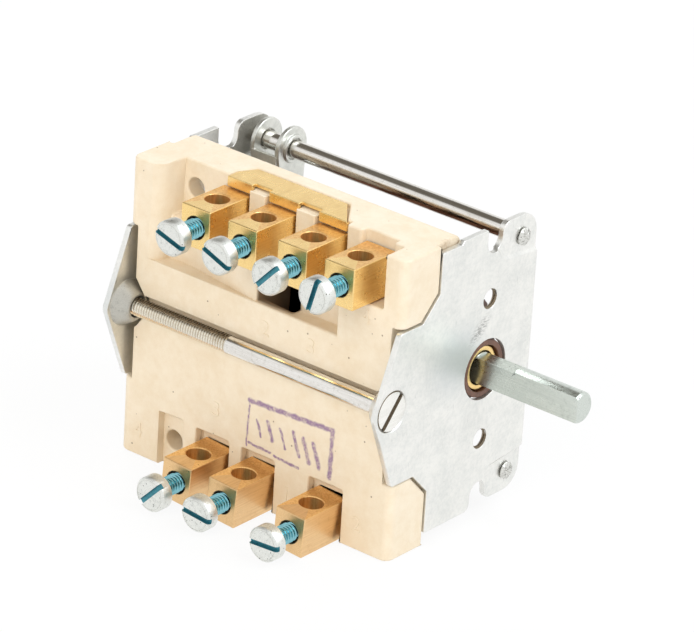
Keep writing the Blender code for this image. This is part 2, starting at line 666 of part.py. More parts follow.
def front_plate():
    """The plate pressed in round the countersunk tie screw head."""
    radius = TIE_HEAD_D / 2 + GAP
    seat = TIE_SINK + TIE_HEAD_T + GAP
    waist = TIE_D / 2 + GAP
    slope = (DISH_D / 2 - radius) / TIE_SINK
    dimple = turned("Y", (TIE_X, 0), [(DIMPLE_R, PLATE_T / 2), (DIMPLE_R, DIMPLE_SHOULDER_Y),
                                      (waist + DIMPLE_TIP_WALL, DIMPLE_TIP_Y)], 36)
    opening = turned("Y", (TIE_X, 0), [(DISH_D / 2 + slope * GAP, -GAP), (radius, TIE_SINK), (waist, seat),
                                       (waist, seat + PAST)], 36)
    return cut(join(plate(0, 1), dimple), opening)


def rear_plate():
    """The plate with its drawn and threaded collar for the tie screw."""
    outer = REAR_PLATE_Y + PLATE_T
    tip, base = COLLAR_TIP_D / 2, COLLAR_BASE_D / 2
    collar = turned("Y", (TIE_X, 0), [(tip - COLLAR_EDGE, COLLAR_FRONT_Y),
                                      (tip, COLLAR_FRONT_Y + COLLAR_EDGE),
                                      (base - COLLAR_EDGE, REAR_PLATE_Y - COLLAR_SHOULDER),
                                      (base, REAR_PLATE_Y), (base, outer - PLATE_T / 2)], 36)
    hole = cylinder("Y", (TIE_X, 0), TIE_D + 2 * GAP, COLLAR_FRONT_Y - PAST, outer + PAST, 24)
    return cut(join(plate(outer, -1), collar), hole)


# Fasteners between the plates
def tie_screw():
    end = REAR_PLATE_Y + PLATE_T + TIE_END_PAST_PLATE
    head, shank = TIE_HEAD_D / 2, TIE_D / 2
    screw = turned("Y", (TIE_X, 0), [(head - TIE_HEAD_EDGE, TIE_SINK), (head, TIE_SINK + TIE_HEAD_EDGE),
                                     (shank, TIE_SINK + TIE_HEAD_T), (shank, end - TIE_END_PAST_PLATE),
                                     (shank - TIE_END_PAST_PLATE, end)], 28)
    slot = box((-TIE_HEAD_D, TIE_HEAD_D), (-PAST, TIE_SINK + TIE_SLOT_T), (-TIE_SLOT_W / 2, TIE_SLOT_W / 2))
    turn = Matrix.Rotation(math.radians(-TIE_SLOT_DEG), 4, "Y")
    bmesh.ops.transform(slot, verts=slot.verts, matrix=Matrix.Translation((TIE_X, 0, 0)) @ turn)
    return cut(screw, slot)


def rod(sign):
    front = EAR_SET_BACK
    rear = REAR_PLATE_Y + PLATE_T - EAR_SET_BACK
    inner = PLATE_T + GAP
    body = ROD_D / 2
    head = RIVET_HEAD_D / 2
    neck = RIVET_D / 2
    profile = [(head - RIVET_EDGE, front - GAP - RIVET_HEAD_T), (head, front - GAP - RIVET_HEAD_T / 2),
               (head, front - GAP), (neck, front - GAP), (neck, front + inner), (body, front + inner),
               (body, rear - inner), (neck, rear - inner), (neck, rear + GAP), (head, rear + GAP),
               (head, rear + GAP + RIVET_HEAD_T / 2), (head - RIVET_EDGE, rear + GAP + RIVET_HEAD_T)]
    return turned("Y", (ROD_X, sign * ROD_Z), profile, 20)


# Shaft group
def shaft():
    radius = SHAFT_D / 2
    clip = REAR_PLATE_Y + PLATE_T + GAP
    groove = (clip - GROOVE_EXTRA / 2, clip + CLIP_T + GROOVE_EXTRA)
    solid = turned("Y", (0, 0), [(radius - SHAFT_CHAMFER, -SHAFT_OUT), (radius, -SHAFT_OUT + SHAFT_CHAMFER),
                                 (radius, groove[0]), (GROOVE_D / 2, groove[0]), (GROOVE_D / 2, groove[1]),
                                 (radius, groove[1]), (radius, SHAFT_REAR_Y - SHAFT_END_EDGE),
                                 (radius - SHAFT_END_EDGE, SHAFT_REAR_Y)], 36)
    side = (-SHAFT_D, SHAFT_D)
    flat = box((-SHAFT_D, SHAFT_FLAT_X), (-SHAFT_OUT - PAST, SLEEVE_FRONT_Y + SLEEVE_LENGTH), side)
    top = box(side, (-SHAFT_TOP_FLAT_LENGTH, SLEEVE_FRONT_Y), (SHAFT_TOP_FLAT_Z, SHAFT_D))
    return cut(solid, flat, top)


def ring(outer_d, inner_d, low, high, segments=28):
    return cut(cylinder("Y", (0, 0), outer_d, low, high, segments),
               cylinder("Y", (0, 0), inner_d, low - PAST, high + PAST, segments))


def cam_outline(notches):
    """A cam circle with shallow notches given as (middle, half width) in degrees."""
    outline = []
    for step in range(48):
        angle = step * 7.5
        depth = 0.0
        for middle, half in notches:
            away = abs((angle - middle + 180.0) % 360.0 - 180.0)
            if away <= half:
                depth = CAM_NOTCH_DEPTH * min(1.0, (half - away) / 10.0)
        radius = CAM_R - depth
        outline.append((radius * math.cos(math.radians(angle)), radius * math.sin(math.radians(angle))))
    return outline


def cam_drum():
    far = REAR_PLATE_Y + PLATE_T - HUB_FRONT_Y
    hub, core = HUB_D / 2, CORE_D / 2
    neck = (STAR_Y[0] - GAP, STAR_Y[1] + GAP)
    barrel = turned("Y", (0, 0), [(hub, HUB_FRONT_Y), (hub, HUB_COLLAR_Y), (core, HUB_COLLAR_Y),
                                  (core, neck[0]), (NECK_R, neck[0]), (NECK_R, neck[1]), (hub, neck[1]),
                                  (hub, far)], 32)
    notches = ((0, 180), (90, 180), (90, 270), (0, 270))
    cams = [prism("Y", cam_outline([(middle, CAM_NOTCH_HALF_DEG) for middle in pair]),
                  y - CAM_WIDTH / 2, y + CAM_WIDTH / 2) for y, pair in zip(HIGH_SEATS_Y, notches)]
    bore = cylinder("Y", (0, 0), SHAFT_D + 2 * GAP, -PAST, far + PAST, 24)
    socket = cylinder("Y", (0, 0), SLEEVE_D + 2 * GAP, -PAST, SLEEVE_FRONT_Y + SLEEVE_LENGTH + GAP, 24)
    return cut(join(barrel, *cams), bore, socket)


def detent_star():
    outline = []
    for step in range(64):
        angle = 2 * math.pi * step / 64
        phase = (angle - math.atan2(ROLLER_Z, ROLLER_X)) * STAR_STEPS
        dip = max(0.0, math.cos(phase)) ** 3
        radius = STAR_R - STAR_VALLEY * dip
        outline.append((radius * math.cos(angle), radius * math.sin(angle)))
    bore = cylinder("Y", (0, 0), 2 * (NECK_R + GAP), STAR_Y[0] - PAST, STAR_Y[1] + PAST, 24)
    return cut(prism("Y", outline, *STAR_Y), bore)


# Detent lever group
def hull_outline(first, first_r, second, second_r):
    """Outline of two circles and their outer tangents."""
    a, b = Vector(first), Vector(second)
    heading = math.atan2(b.y - a.y, b.x - a.x)
    lean = math.acos((first_r - second_r) / (b - a).length)
    points = []
    for k in range(13):
        angle = heading + lean + (2 * math.pi - 2 * lean) * k / 12
        points.append((a.x + first_r * math.cos(angle), a.y + first_r * math.sin(angle)))
    for k in range(9):
        angle = heading - lean + 2 * lean * k / 8
        points.append((b.x + second_r * math.cos(angle), b.y + second_r * math.sin(angle)))
    return points


def detent_lever():
    pivot = (ROD_X, ROD_Z)
    tip = (ROLLER_X, ROLLER_Z)
    post = (SPRING_POST_X, SPRING_POST_Z)
    front, rear = LEVER_FRONT_Y, LEVER_FRONT_Y + LEVER_PITCH
    through = (front - PAST, rear + PAST)
    arm = hull_outline(pivot, LEVER_EAR_R, tip, ROLLER_END_R)
    tail = hull_outline(tip, ROLLER_END_R, post, TAIL_END_R)
    web_x = ROD_X - LEVER_EAR_R
    web_z = ROD_Z - LEVER_WEB_BELOW_ROD
    parts = [
        prism("Y", arm, rear, rear + LEVER_T),
        box((web_x, web_x + LEVER_WEB_T), (front + LEVER_T / 2, rear + LEVER_T / 2),
            (web_z, web_z + LEVER_WEB_HEIGHT)),
        prism("Y", tail, front, front + LEVER_T),
        cylinder("Y", post, SPRING_POST_D, SPRING_Y - 2 * SPRING_WIRE_D, front + LEVER_SINK, 10),
        cylinder("Y", pivot, LEVER_COLLAR_D, front - LEVER_COLLAR_T, front + LEVER_SINK, 20),
    ]
    holes = [cylinder("Y", pivot, ROD_D + 2 * GAP, *through, 20),
             cylinder("Y", tip, ROLLER_PIN_D + 2 * GAP, *through, 14)]
    return cut(join(prism("Y", arm, front, front + LEVER_T), *parts), *holes)


def roller_pin():
    low = LEVER_FRONT_Y - ROLLER_PIN_OUT
    high = LEVER_FRONT_Y + LEVER_PITCH + LEVER_T + ROLLER_PIN_OUT
    pin = ROLLER_PIN_D / 2
    head = pin + ROLLER_PIN_HEAD
    profile = [(pin, low), (head, low + ROLLER_PIN_HEAD_T / 2), (head, low + ROLLER_PIN_HEAD_T),
               (pin, low + ROLLER_PIN_HEAD_T), (pin, high - ROLLER_PIN_HEAD_T),
               (head, high - ROLLER_PIN_HEAD_T), (head, high - ROLLER_PIN_HEAD_T / 2), (pin, high)]
    return turned("Y", (ROLLER_X, ROLLER_Z), profile, 14)


def detent_roller():
    low = LEVER_FRONT_Y + LEVER_T + GAP
    high = LEVER_FRONT_Y + LEVER_PITCH - GAP
    radius = ROLLER_D / 2
    profile = [(radius - ROLLER_EDGE, low), (radius, low + ROLLER_EDGE), (radius, high - ROLLER_EDGE),
               (radius - ROLLER_EDGE, high)]
    wheel = turned("Y", (ROLLER_X, ROLLER_Z), profile, 24)
    bore = cylinder("Y", (ROLLER_X, ROLLER_Z), ROLLER_PIN_D + 2 * GAP, low - PAST, high + PAST, 14)
    return cut(wheel, bore)


def swept(path, diameter, sides=8):
    """A closed round wire along a list of points."""
    bm = bmesh.new()
    rings = []
    side = None
    for i, point in enumerate(path):
        ahead = path[min(i + 1, len(path) - 1)]
        behind = path[max(i - 1, 0)]
        heading = (ahead - behind).normalized()
        if side is None:
            side = heading.orthogonal().normalized()
        side = (side - heading * side.dot(heading)).normalized()
        up = heading.cross(side)
        rings.append([bm.verts.new(point + (side * math.cos(2 * math.pi * k / sides)
                                            + up * math.sin(2 * math.pi * k / sides)) * diameter / 2)
                      for k in range(sides)])
    for first, second in zip(rings, rings[1:]):
        for k in range(sides):
            m = (k + 1) % sides
            bm.faces.new((first[k], first[m], second[m], second[k]))
    bm.faces.new(rings[0])
    bm.faces.new(rings[-1])
    return tidy(bm)


def detent_spring():
    """Tension spring from the lever's post to the bottom rod, hooked round both."""
    top = Vector((SPRING_POST_X, SPRING_Y, SPRING_POST_Z))
    low = Vector((ROD_X, SPRING_Y, -ROD_Z))
    down = (low - top).normalized()
    across = Vector((down.z, 0, -down.x))
    depth = Vector((0, 1, 0))
    top_r = SPRING_POST_D / 2 + GAP + SPRING_WIRE_D / 2
    low_r = ROD_D / 2 + GAP + SPRING_WIRE_D / 2
    coil_r = SPRING_COIL_D / 2
    start = top + down * (top_r + SPRING_HOOK)
    end = low - down * (low_r + SPRING_HOOK)
    path = []
    for k in range(11):
        angle = math.radians(250 - 25 * k)
        path.append(top + (across * math.cos(angle) - down * math.sin(angle)) * top_r)
    steps = SPRING_TURNS * 9
    for k in range(steps + 1):
        angle = 2 * math.pi * k / 9
        centre = start + (end - start) * (k / steps)
        path.append(centre + (across * math.cos(angle) + depth * math.sin(angle)) * coil_r)
    for k in range(11):
        angle = math.radians(20 + 28 * k)
        path.append(low + (across * math.cos(angle) - down * math.sin(angle)) * low_r)
    return swept(path, SPRING_WIRE_D, 5)


# Terminals
def terminal(seat_y, outer_x, top_z, tang_end_x, tang_z, roll_deg):
    """A clamp block with its wire hole, screw hole and tang into the cavity."""
    inner_x = outer_x + BLOCK_LENGTH
    half = BLOCK_WIDTH / 2
    bottom_z = top_z - BLOCK_HEIGHT
    middle_z = (top_z + bottom_z) / 2
    block = box((outer_x, inner_x), (seat_y - half, seat_y + half), (bottom_z, top_z))
    bevel(block, lambda a, b: True, BLOCK_CHAMFER, 1)
    wire_x = outer_x + WIRE_HOLE_FROM_END
    tang = box((inner_x - TANG_ROOT, tang_end_x), (seat_y - TANG_WIDTH / 2, seat_y + TANG_WIDTH / 2),
               (tang_z - TANG_T / 2, tang_z + TANG_T / 2))
    wire_hole = cylinder("Z", (wire_x, seat_y), WIRE_HOLE_D, bottom_z - PAST, top_z + PAST, 24)
    screw_hole = cylinder("X", (seat_y, middle_z), SCREW_D + SCREW_HOLE_CLEARANCE, outer_x - PAST, wire_x, 20)
    solid = cut(join(block, tang), wire_hole, screw_hole)
    about = Matrix.Translation((0, seat_y, middle_z))
    turn = about @ Matrix.Rotation(math.radians(roll_deg), 4, "X") @ about.inverted()
    bmesh.ops.transform(solid, verts=solid.verts, matrix=turn)
    return solid


def clamp_screw(seat_y, outer_x, middle_z, slot_deg):
    """A slotted cheese head screw along x, its head outside the block."""
    under = outer_x - SCREW_BACKED_OUT
    face = under - HEAD_T
    tip = outer_x + SCREW_TIP_IN
    head, shank = HEAD_D / 2, SCREW_D / 2
    profile = [(head - HEAD_EDGE, face), (head, face + HEAD_EDGE), (head, under), (shank, under),
               (shank, tip - SCREW_POINT), (shank - SCREW_POINT, tip)]
    solid = turned("X", (seat_y, middle_z), profile, 22)
    slot = box((face - PAST, face + HEAD_SLOT_T), (-HEAD_D, HEAD_D), (-HEAD_SLOT_W / 2, HEAD_SLOT_W / 2))
    turn = Matrix.Rotation(math.radians(-slot_deg), 4, "X")
    bmesh.ops.transform(slot, verts=slot.verts, matrix=Matrix.Translation((0, seat_y, middle_z)) @ turn)
    return cut(solid, slot)


def busbar():
    """Flat strip let into the top of the body, notched at the ribs, with a lip down to three terminals."""
    low = BAR_TOP_Z - BAR_T
    bar = prism("Z", bar_outline(0), low, BAR_TOP_Z)
    lips = []
    for seat_y in (SEAT_1_Y, SEAT_2_Y, SEAT_3_Y):
        lip_y = (max(seat_y - BAR_LIP_FRONT, BAR_FRONT_Y), min(seat_y + BAR_LIP_REAR, BAR_REAR_Y))
        lips.append(box((BAR_OUTER_X, BAR_OUTER_X + BAR_T), lip_y, (HIGH_TOP_Z + GAP, BAR_TOP_Z - BAR_T / 2)))
    notches = [box((BAR_OUTER_X - PAST, BAR_OUTER_X + BAR_NOTCH),
                   (front + BAR_LIP_REAR, rear - BAR_LIP_FRONT), (low - PAST, BAR_TOP_Z + PAST))
               for front, rear in ((SEAT_2_Y, SEAT_1_Y), (SEAT_3_Y, SEAT_2_Y))]
    return cut(join(bar, *lips), *notches)


def contact_leaf(seat_y):
    foot_z = BODY_BOTTOM_Z + CAVITY_BOTTOM_WALL + LEAF_END_GAP
    knee_z = foot_z + LEAF_FOOT_LENGTH
    bend_z = knee_z + LEAF_BEND_LENGTH
    top_z = BODY_TOP_Z - CAVITY_TOP_WALL - LEAF_END_GAP
    profile = [(LEAF_FOOT_X, foot_z), (LEAF_FOOT_X + LEAF_T, foot_z), (LEAF_FOOT_X + LEAF_T, knee_z),
               (LEAF_X + LEAF_T, bend_z), (LEAF_X + LEAF_T, top_z), (LEAF_X, top_z), (LEAF_X, bend_z),
               (LEAF_FOOT_X, knee_z)]
    return prism("Y", profile, seat_y - LEAF_WIDTH / 2, seat_y + LEAF_WIDTH / 2)


def build():
    for thing in list(bpy.data.objects):
        bpy.data.objects.remove(thing, do_unlink=True)
    add_node("ceramic_body", ceramic_body(), CERAMIC)
    add_node("front_plate", front_plate(), PLATED)
    add_node("rear_plate", rear_plate(), PLATED)
    add_node("tie_screw", tie_screw(), BRIGHT)
    add_node("top_rod", rod(1), BRIGHT)
    add_node("bottom_rod", rod(-1), BRIGHT)

    add_node("shaft", shaft(), BRIGHT)
    sleeve_end = SLEEVE_FRONT_Y + SLEEVE_LENGTH
    add_node("shaft_sleeve", ring(SLEEVE_D, SHAFT_D + 2 * GAP, SLEEVE_FRONT_Y, sleeve_end), BRASS)
    add_node("cam_drum", cam_drum(), BROWN)
    add_node("detent_star", detent_star(), PLATED)
    clip_y = REAR_PLATE_Y + PLATE_T + GAP
    add_node("shaft_clip", ring(CLIP_D, GROOVE_D + 2 * GAP, clip_y, clip_y + CLIP_T), SPRING_STEEL)

    lever_pivot = (ROD_X, LEVER_FRONT_Y + LEVER_PITCH / 2, ROD_Z)
    roller_pivot = (ROLLER_X, LEVER_FRONT_Y + LEVER_PITCH / 2, ROLLER_Z)
    add_node("detent_lever", detent_lever(), PLATED, lever_pivot)
    add_node("roller_pin", roller_pin(), BRIGHT, roller_pivot)
    add_node("detent_roller", detent_roller(), BRIGHT, roller_pivot)
    add_node("detent_spring", detent_spring(), SPRING_STEEL, (SPRING_POST_X, SPRING_Y, SPRING_POST_Z))

    add_node("busbar", busbar(), BRASS)
    high_middle = HIGH_TOP_Z - BLOCK_HEIGHT / 2
    low_middle = LOW_TOP_Z - BLOCK_HEIGHT / 2
    for number, (seat_y, slot_deg) in enumerate(zip(HIGH_SEATS_Y, HIGH_SLOT_DEG), 1):
        block = terminal(seat_y, HIGH_OUTER_X, HIGH_TOP_Z, LEAF_X - HIGH_TANG_BEHIND_LEAF, high_middle, 0.0)
        add_node(f"terminal_{number}", block, BRASS)
        add_node(f"clamp_screw_{number}", clamp_screw(seat_y, HIGH_OUTER_X, high_middle, slot_deg),
                 SCREW, (HIGH_OUTER_X, seat_y, high_middle))
        add_node(f"contact_leaf_{number}", contact_leaf(seat_y), LEAF_BRONZE)
    for number, (seat_y, slot_deg) in enumerate(zip(LOW_SEATS_Y, LOW_SLOT_DEG), 1):
        block = terminal(seat_y, LOW_OUTER_X, LOW_TOP_Z, LEAF_FOOT_X - LOW_TANG_BEHIND_LEAF,
                         LOW_TOP_Z - LOW_TANG_BELOW_TOP, LOW_ROLL_DEG)
        add_node(f"terminal_p{number}", block, BRASS)
        add_node(f"clamp_screw_p{number}", clamp_screw(seat_y, LOW_OUTER_X, low_middle, slot_deg),
                 SCREW, (LOW_OUTER_X, seat_y, low_middle))


build()
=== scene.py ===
"""Looks of the rotary heat control switch: fine meshes, finishes, floor, light and camera.

Pieces are shaped in the switch's own axes, in millimetres: x to the right seen from the
shaft end, y into the switch from the front plate, z up, with the shaft axis at x = z = 0.
Each finished mesh is then written in the frame's metres. Places are read from the frame.
"""
from __future__ import annotations

import logging
import math
import random
from collections.abc import Sequence
from dataclasses import dataclass, field
from enum import Enum

import bmesh
import bpy
from bmesh.types import BMesh, BMEdge
from bpy.types import ID, Curve, Material, Mesh, Node, NodeSocket, NodeTree, Object
from mathutils import Matrix, Vector


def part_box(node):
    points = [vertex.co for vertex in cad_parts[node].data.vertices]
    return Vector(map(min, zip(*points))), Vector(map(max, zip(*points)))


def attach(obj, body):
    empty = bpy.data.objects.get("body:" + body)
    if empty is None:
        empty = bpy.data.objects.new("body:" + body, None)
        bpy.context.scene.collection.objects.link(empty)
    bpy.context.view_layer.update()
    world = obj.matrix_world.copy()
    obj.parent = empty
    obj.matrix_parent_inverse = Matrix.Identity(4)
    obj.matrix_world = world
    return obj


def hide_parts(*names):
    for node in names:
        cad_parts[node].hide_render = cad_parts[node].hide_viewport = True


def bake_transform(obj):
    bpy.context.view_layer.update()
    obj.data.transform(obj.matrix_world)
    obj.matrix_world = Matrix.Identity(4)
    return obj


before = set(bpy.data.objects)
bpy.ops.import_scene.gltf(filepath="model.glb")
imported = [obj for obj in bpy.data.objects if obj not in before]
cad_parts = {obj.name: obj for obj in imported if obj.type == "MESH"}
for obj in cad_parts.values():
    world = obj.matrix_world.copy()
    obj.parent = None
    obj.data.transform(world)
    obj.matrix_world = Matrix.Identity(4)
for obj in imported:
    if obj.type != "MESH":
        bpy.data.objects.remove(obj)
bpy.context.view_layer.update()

log = logging.getLogger("heat_control_switch")
MM = 0.001
BODY = "switch_body"
INFINITE = math.inf
Pair = tuple[float, float]
Triple = tuple[float, float, float]
Value = NodeSocket | float | tuple


class Axis(Enum):
    """The direction that a turned piece runs in."""

    X = (1.0, 0.0, 0.0)
    Y = (0.0, 1.0, 0.0)
    Z = (0.0, 0.0, 1.0)

    @property
    def vector(self) -> Vector:
        """The axis as a unit vector."""
        return Vector(self.value)

    def point(self, centre: Pair, radius: float, along: float) -> Vector:
        """A point of a profile in the half plane beside the axis.

        Args:
            centre: The axis' two other coordinates, in alphabetical order.
            radius: Distance from the axis.
            along: Place along the axis.

        Returns:
            The point in switch axes.
        """
        first, second = centre
        if self is Axis.X:
            return Vector((along, first + radius, second))
        if self is Axis.Y:
            return Vector((first + radius, along, second))
        return Vector((first + radius, second, along))

    def middle(self, centre: Pair) -> Vector:
        """The point of the axis at zero along it."""
        return self.point(centre, 0.0, 0.0)


class Slot(Enum):
    """The record's material slots."""

    CERAMIC = "ceramic"
    PLATE = "zinc_plated_plate"
    STEEL = "bright_steel"
    BRASS = "brass"
    PHENOLIC = "brown_phenolic"
    PASSIVATED = "blue_passivated_steel"
    SPRING = "spring_steel"
    BRONZE = "contact_bronze"


@dataclass(frozen=True)
class Extent:
    """A node's two corners in switch millimetres."""

    low: Vector
    high: Vector

    @property
    def middle(self) -> Triple:
        """Its middle."""
        return tuple((low + high) / 2 for low, high in zip(self.low, self.high))

    @property
    def half(self) -> Triple:
        """Half its size."""
        return tuple((high - low) / 2 for low, high in zip(self.low, self.high))


@dataclass(frozen=True)
class Datum:
    """The switch's own origin in the frame: shaft axis and front face of the front plate."""

    origin: Vector

    @classmethod
    def from_frame(cls) -> Datum:
        """Reads the origin from the sleeve round the shaft and from the front plate."""
        low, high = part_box("shaft_sleeve")
        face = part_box("front_plate")[0]
        return cls(Vector(((low.x + high.x) / 2, face.y, (low.z + high.z) / 2)))

    def extent(self, node: str) -> Extent:
        """Corners of a node in switch axes.

        Args:
            node: Name of the CAD node.

        Returns:
            The two corners.
        """
        low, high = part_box(node)
        return Extent((low - self.origin) / MM, (high - self.origin) / MM)

    def to_frame(self) -> Matrix:
        """Matrix from switch millimetres to the frame's metres."""
        return Matrix.Translation(self.origin) @ Matrix.Scale(MM, 4)


DATUM = Datum.from_frame()


# Mesh tools
def turned(axis: Axis, centre: Pair, profile: Sequence[Pair],
           segments: int = 64) -> BMesh:
    """Spins a profile round an axis into a closed solid.

    Args:
        axis: Direction of the axis.
        centre: The axis' two other coordinates.
        profile: Pairs of radius and place along the axis; it starts and ends on the axis
            or comes back to its first pair.
        segments: Steps of the full turn.

    Returns:
        The solid.
    """
    bm = bmesh.new()
    closed = profile[0] == profile[-1] and profile[0][0] > 0
    pairs = profile[:-1] if closed else profile
    verts = [bm.verts.new(axis.point(centre, radius, along)) for radius, along in pairs]
    links = list(zip(verts, verts[1:]))
    if closed:
        links.append((verts[-1], verts[0]))
    edges = [bm.edges.new(pair) for pair in links]
    bmesh.ops.spin(bm, geom=verts + edges, cent=axis.middle(centre), axis=axis.vector,
                   angle=2 * math.pi, steps=segments, use_merge=True)
    bmesh.ops.remove_doubles(bm, verts=bm.verts, dist=1e-4)
    bmesh.ops.recalc_face_normals(bm, faces=bm.faces)
    return bm


def helix(axis: Axis, centre: Pair, section: Sequence[Pair], pitch: float, turns: float,
          material: int = 0, steps: int = 28) -> BMesh:
    """Spins a small closed section along a helix, with closed ends.

    Args:
        axis: Direction of the helix.
        centre: The axis' two other coordinates.
        section: Pairs of radius and place along the axis at the start.
        pitch: Advance of one turn.
        turns: Number of turns.
        material: Index of its material.
        steps: Steps of one turn.

    Returns:
        The closed ridge.
    """
    bm = bmesh.new()
    verts = [bm.verts.new(axis.point(centre, radius, along)) for radius, along in section]
    edges = [bm.edges.new((verts[i - 1], verts[i])) for i in range(len(verts))]
    count = max(3, round(turns * steps))
    bmesh.ops.spin(bm, geom=verts + edges, cent=axis.middle(centre), axis=axis.vector,
                   dvec=axis.vector * (pitch / steps), angle=2 * math.pi * count / steps,
                   steps=count, use_merge=False)
    bmesh.ops.holes_fill(bm, edges=[e for e in bm.edges if e.is_boundary], sides=0)
    bmesh.ops.recalc_face_normals(bm, faces=bm.faces)
    for face in bm.faces:
        face.material_index = material
    return bm


def block(low: Sequence[float], high: Sequence[float]) -> BMesh:
    """A box between two corners.

    Args:
        low: Lowest corner.
        high: Highest corner.

    Returns:
        The box.
    """
    bm = bmesh.new()
    bmesh.ops.create_cube(bm, size=1.0)
    size = Vector(high) - Vector(low)
    bmesh.ops.scale(bm, verts=bm.verts, vec=size)
    bmesh.ops.translate(bm, verts=bm.verts, vec=(Vector(high) + Vector(low)) / 2)
    return bm


def rolled(bm: BMesh, axis: Axis, about: Vector, degrees: float) -> BMesh:
    """Turns a mesh about an axis through a point.

    Args:
        bm: The mesh.
        axis: Direction of the axis.
        about: A point on the axis.
        degrees: Angle.

    Returns:
        The same mesh.
    """
    turn = Matrix.Translation(about) @ Matrix.Rotation(math.radians(degrees), 4, axis.vector)
    bmesh.ops.transform(bm, verts=bm.verts, matrix=turn @ Matrix.Translation(-about))
    return bm


def merged(*parts: BMesh) -> BMesh:
    """Puts several closed shells into one mesh.

    Args:
        parts: The meshes, which are freed.

    Returns:
        One mesh with all of them.
    """
    whole = bmesh.new()
    for part in parts:
        holder = bpy.data.meshes.new("shell")
        part.to_mesh(holder)
        part.free()
        whole.from_mesh(holder)
        bpy.data.meshes.remove(holder)
    return whole


def linked(name: str, data: ID) -> Object:
    """Links new data to the scene.

    Args:
        name: Name of the object.
        data: Its mesh, curve, light or camera.

    Returns:
        The object.
    """
    thing = bpy.data.objects.new(name, data)
    bpy.context.scene.collection.objects.link(thing)
    return thing


def shown(name: str, bm: BMesh) -> Object:
    """Links a mesh to the scene as it is.

    Args:
        name: Name of the object.
        bm: The mesh, which is freed.

    Returns:
        The object.
    """
    mesh = bpy.data.meshes.new(name)
    bm.to_mesh(mesh)
    bm.free()
    return linked(name, mesh)


def evaluated(thing: Object) -> Mesh:
    """The mesh that an object's modifiers or bevel make.

    Args:
        thing: The object.

    Returns:
        A new mesh.
    """
    bpy.context.view_layer.update()
    graph = bpy.context.evaluated_depsgraph_get()
    return bpy.data.meshes.new_from_object(thing.evaluated_get(graph))


def carved(base: BMesh, *cutters: BMesh) -> BMesh:
    """Cuts one mesh by others with exact booleans.

    Args:
        base: The mesh to cut.
        cutters: The tools, which are freed.

    Returns:
        What is left.
    """
    target = shown("carved", base)
    for cutter in cutters:
        tool = shown("cutter", cutter)
        modifier = target.modifiers.new("cut", "BOOLEAN")
        modifier.operation = "DIFFERENCE"
        modifier.object = tool
        target.data = evaluated(target)
        target.modifiers.clear()
        bpy.data.objects.remove(tool)
    bm = bmesh.new()
    bm.from_mesh(target.data)
    bpy.data.objects.remove(target)
    bmesh.ops.remove_doubles(bm, verts=bm.verts, dist=1e-4)
    return bm


def cad_copy(node: str) -> BMesh:
    """A copy of a node's mesh in switch millimetres, merged and with flat areas joined.

    Args:
        node: Name of the CAD node.

    Returns:
        The copy.
    """
    bm = bmesh.new()
    bm.from_mesh(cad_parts[node].data)
    bmesh.ops.transform(bm, verts=bm.verts, matrix=DATUM.to_frame().inverted())
    bmesh.ops.remove_doubles(bm, verts=bm.verts, dist=1e-3)
    bmesh.ops.dissolve_limit(bm, angle_limit=math.radians(1.0), verts=bm.verts, edges=bm.edges)
    return bm


def from_curve(curve: Curve) -> BMesh:
    """Makes a mesh of a curve or a text.

    Args:
        curve: The curve with its bevel set.

    Returns:
        Its mesh.
    """
    holder = linked("curve", curve)
    bm = bmesh.new()
    bm.from_mesh(evaluated(holder))
    bpy.data.objects.remove(holder)
    return bm


def wire(points: Sequence[Vector], diameter: float) -> BMesh:
    """A round wire along points.

    Args:
        points: The wire's middle line.
        diameter: The wire's thickness.

    Returns:
        The wire as a closed mesh.
    """
    curve = bpy.data.curves.new("wire", "CURVE")
    curve.dimensions = "3D"
    curve.bevel_depth = diameter / 2
    curve.bevel_resolution = 3
    curve.use_fill_caps = True
    spline = curve.splines.new("POLY")
    spline.points.add(len(points) - 1)
    for knot, point in zip(spline.points, points):
        knot.co = (*point, 1.0)
    return from_curve(curve)


@dataclass(frozen=True)
class Zone:
    """A box whose edges get their own rounding: both kinds, or convex or concave ones only."""

    width: float
    x: Pair = (-INFINITE, INFINITE)
    y: Pair = (-INFINITE, INFINITE)
    z: Pair = (-INFINITE, INFINITE)
    convex: bool | None = None

    def holds(self, point: Vector, convex: bool) -> bool:
        """Whether an edge belongs to the zone.

        Args:
            point: Middle of the edge.
            convex: Whether it is an outer edge.

        Returns:
            True if it does.
        """
        sides = zip(point, (self.x, self.y, self.z))
        return self.convex in (None, convex) and all(low < at < high for at, (low, high) in sides)


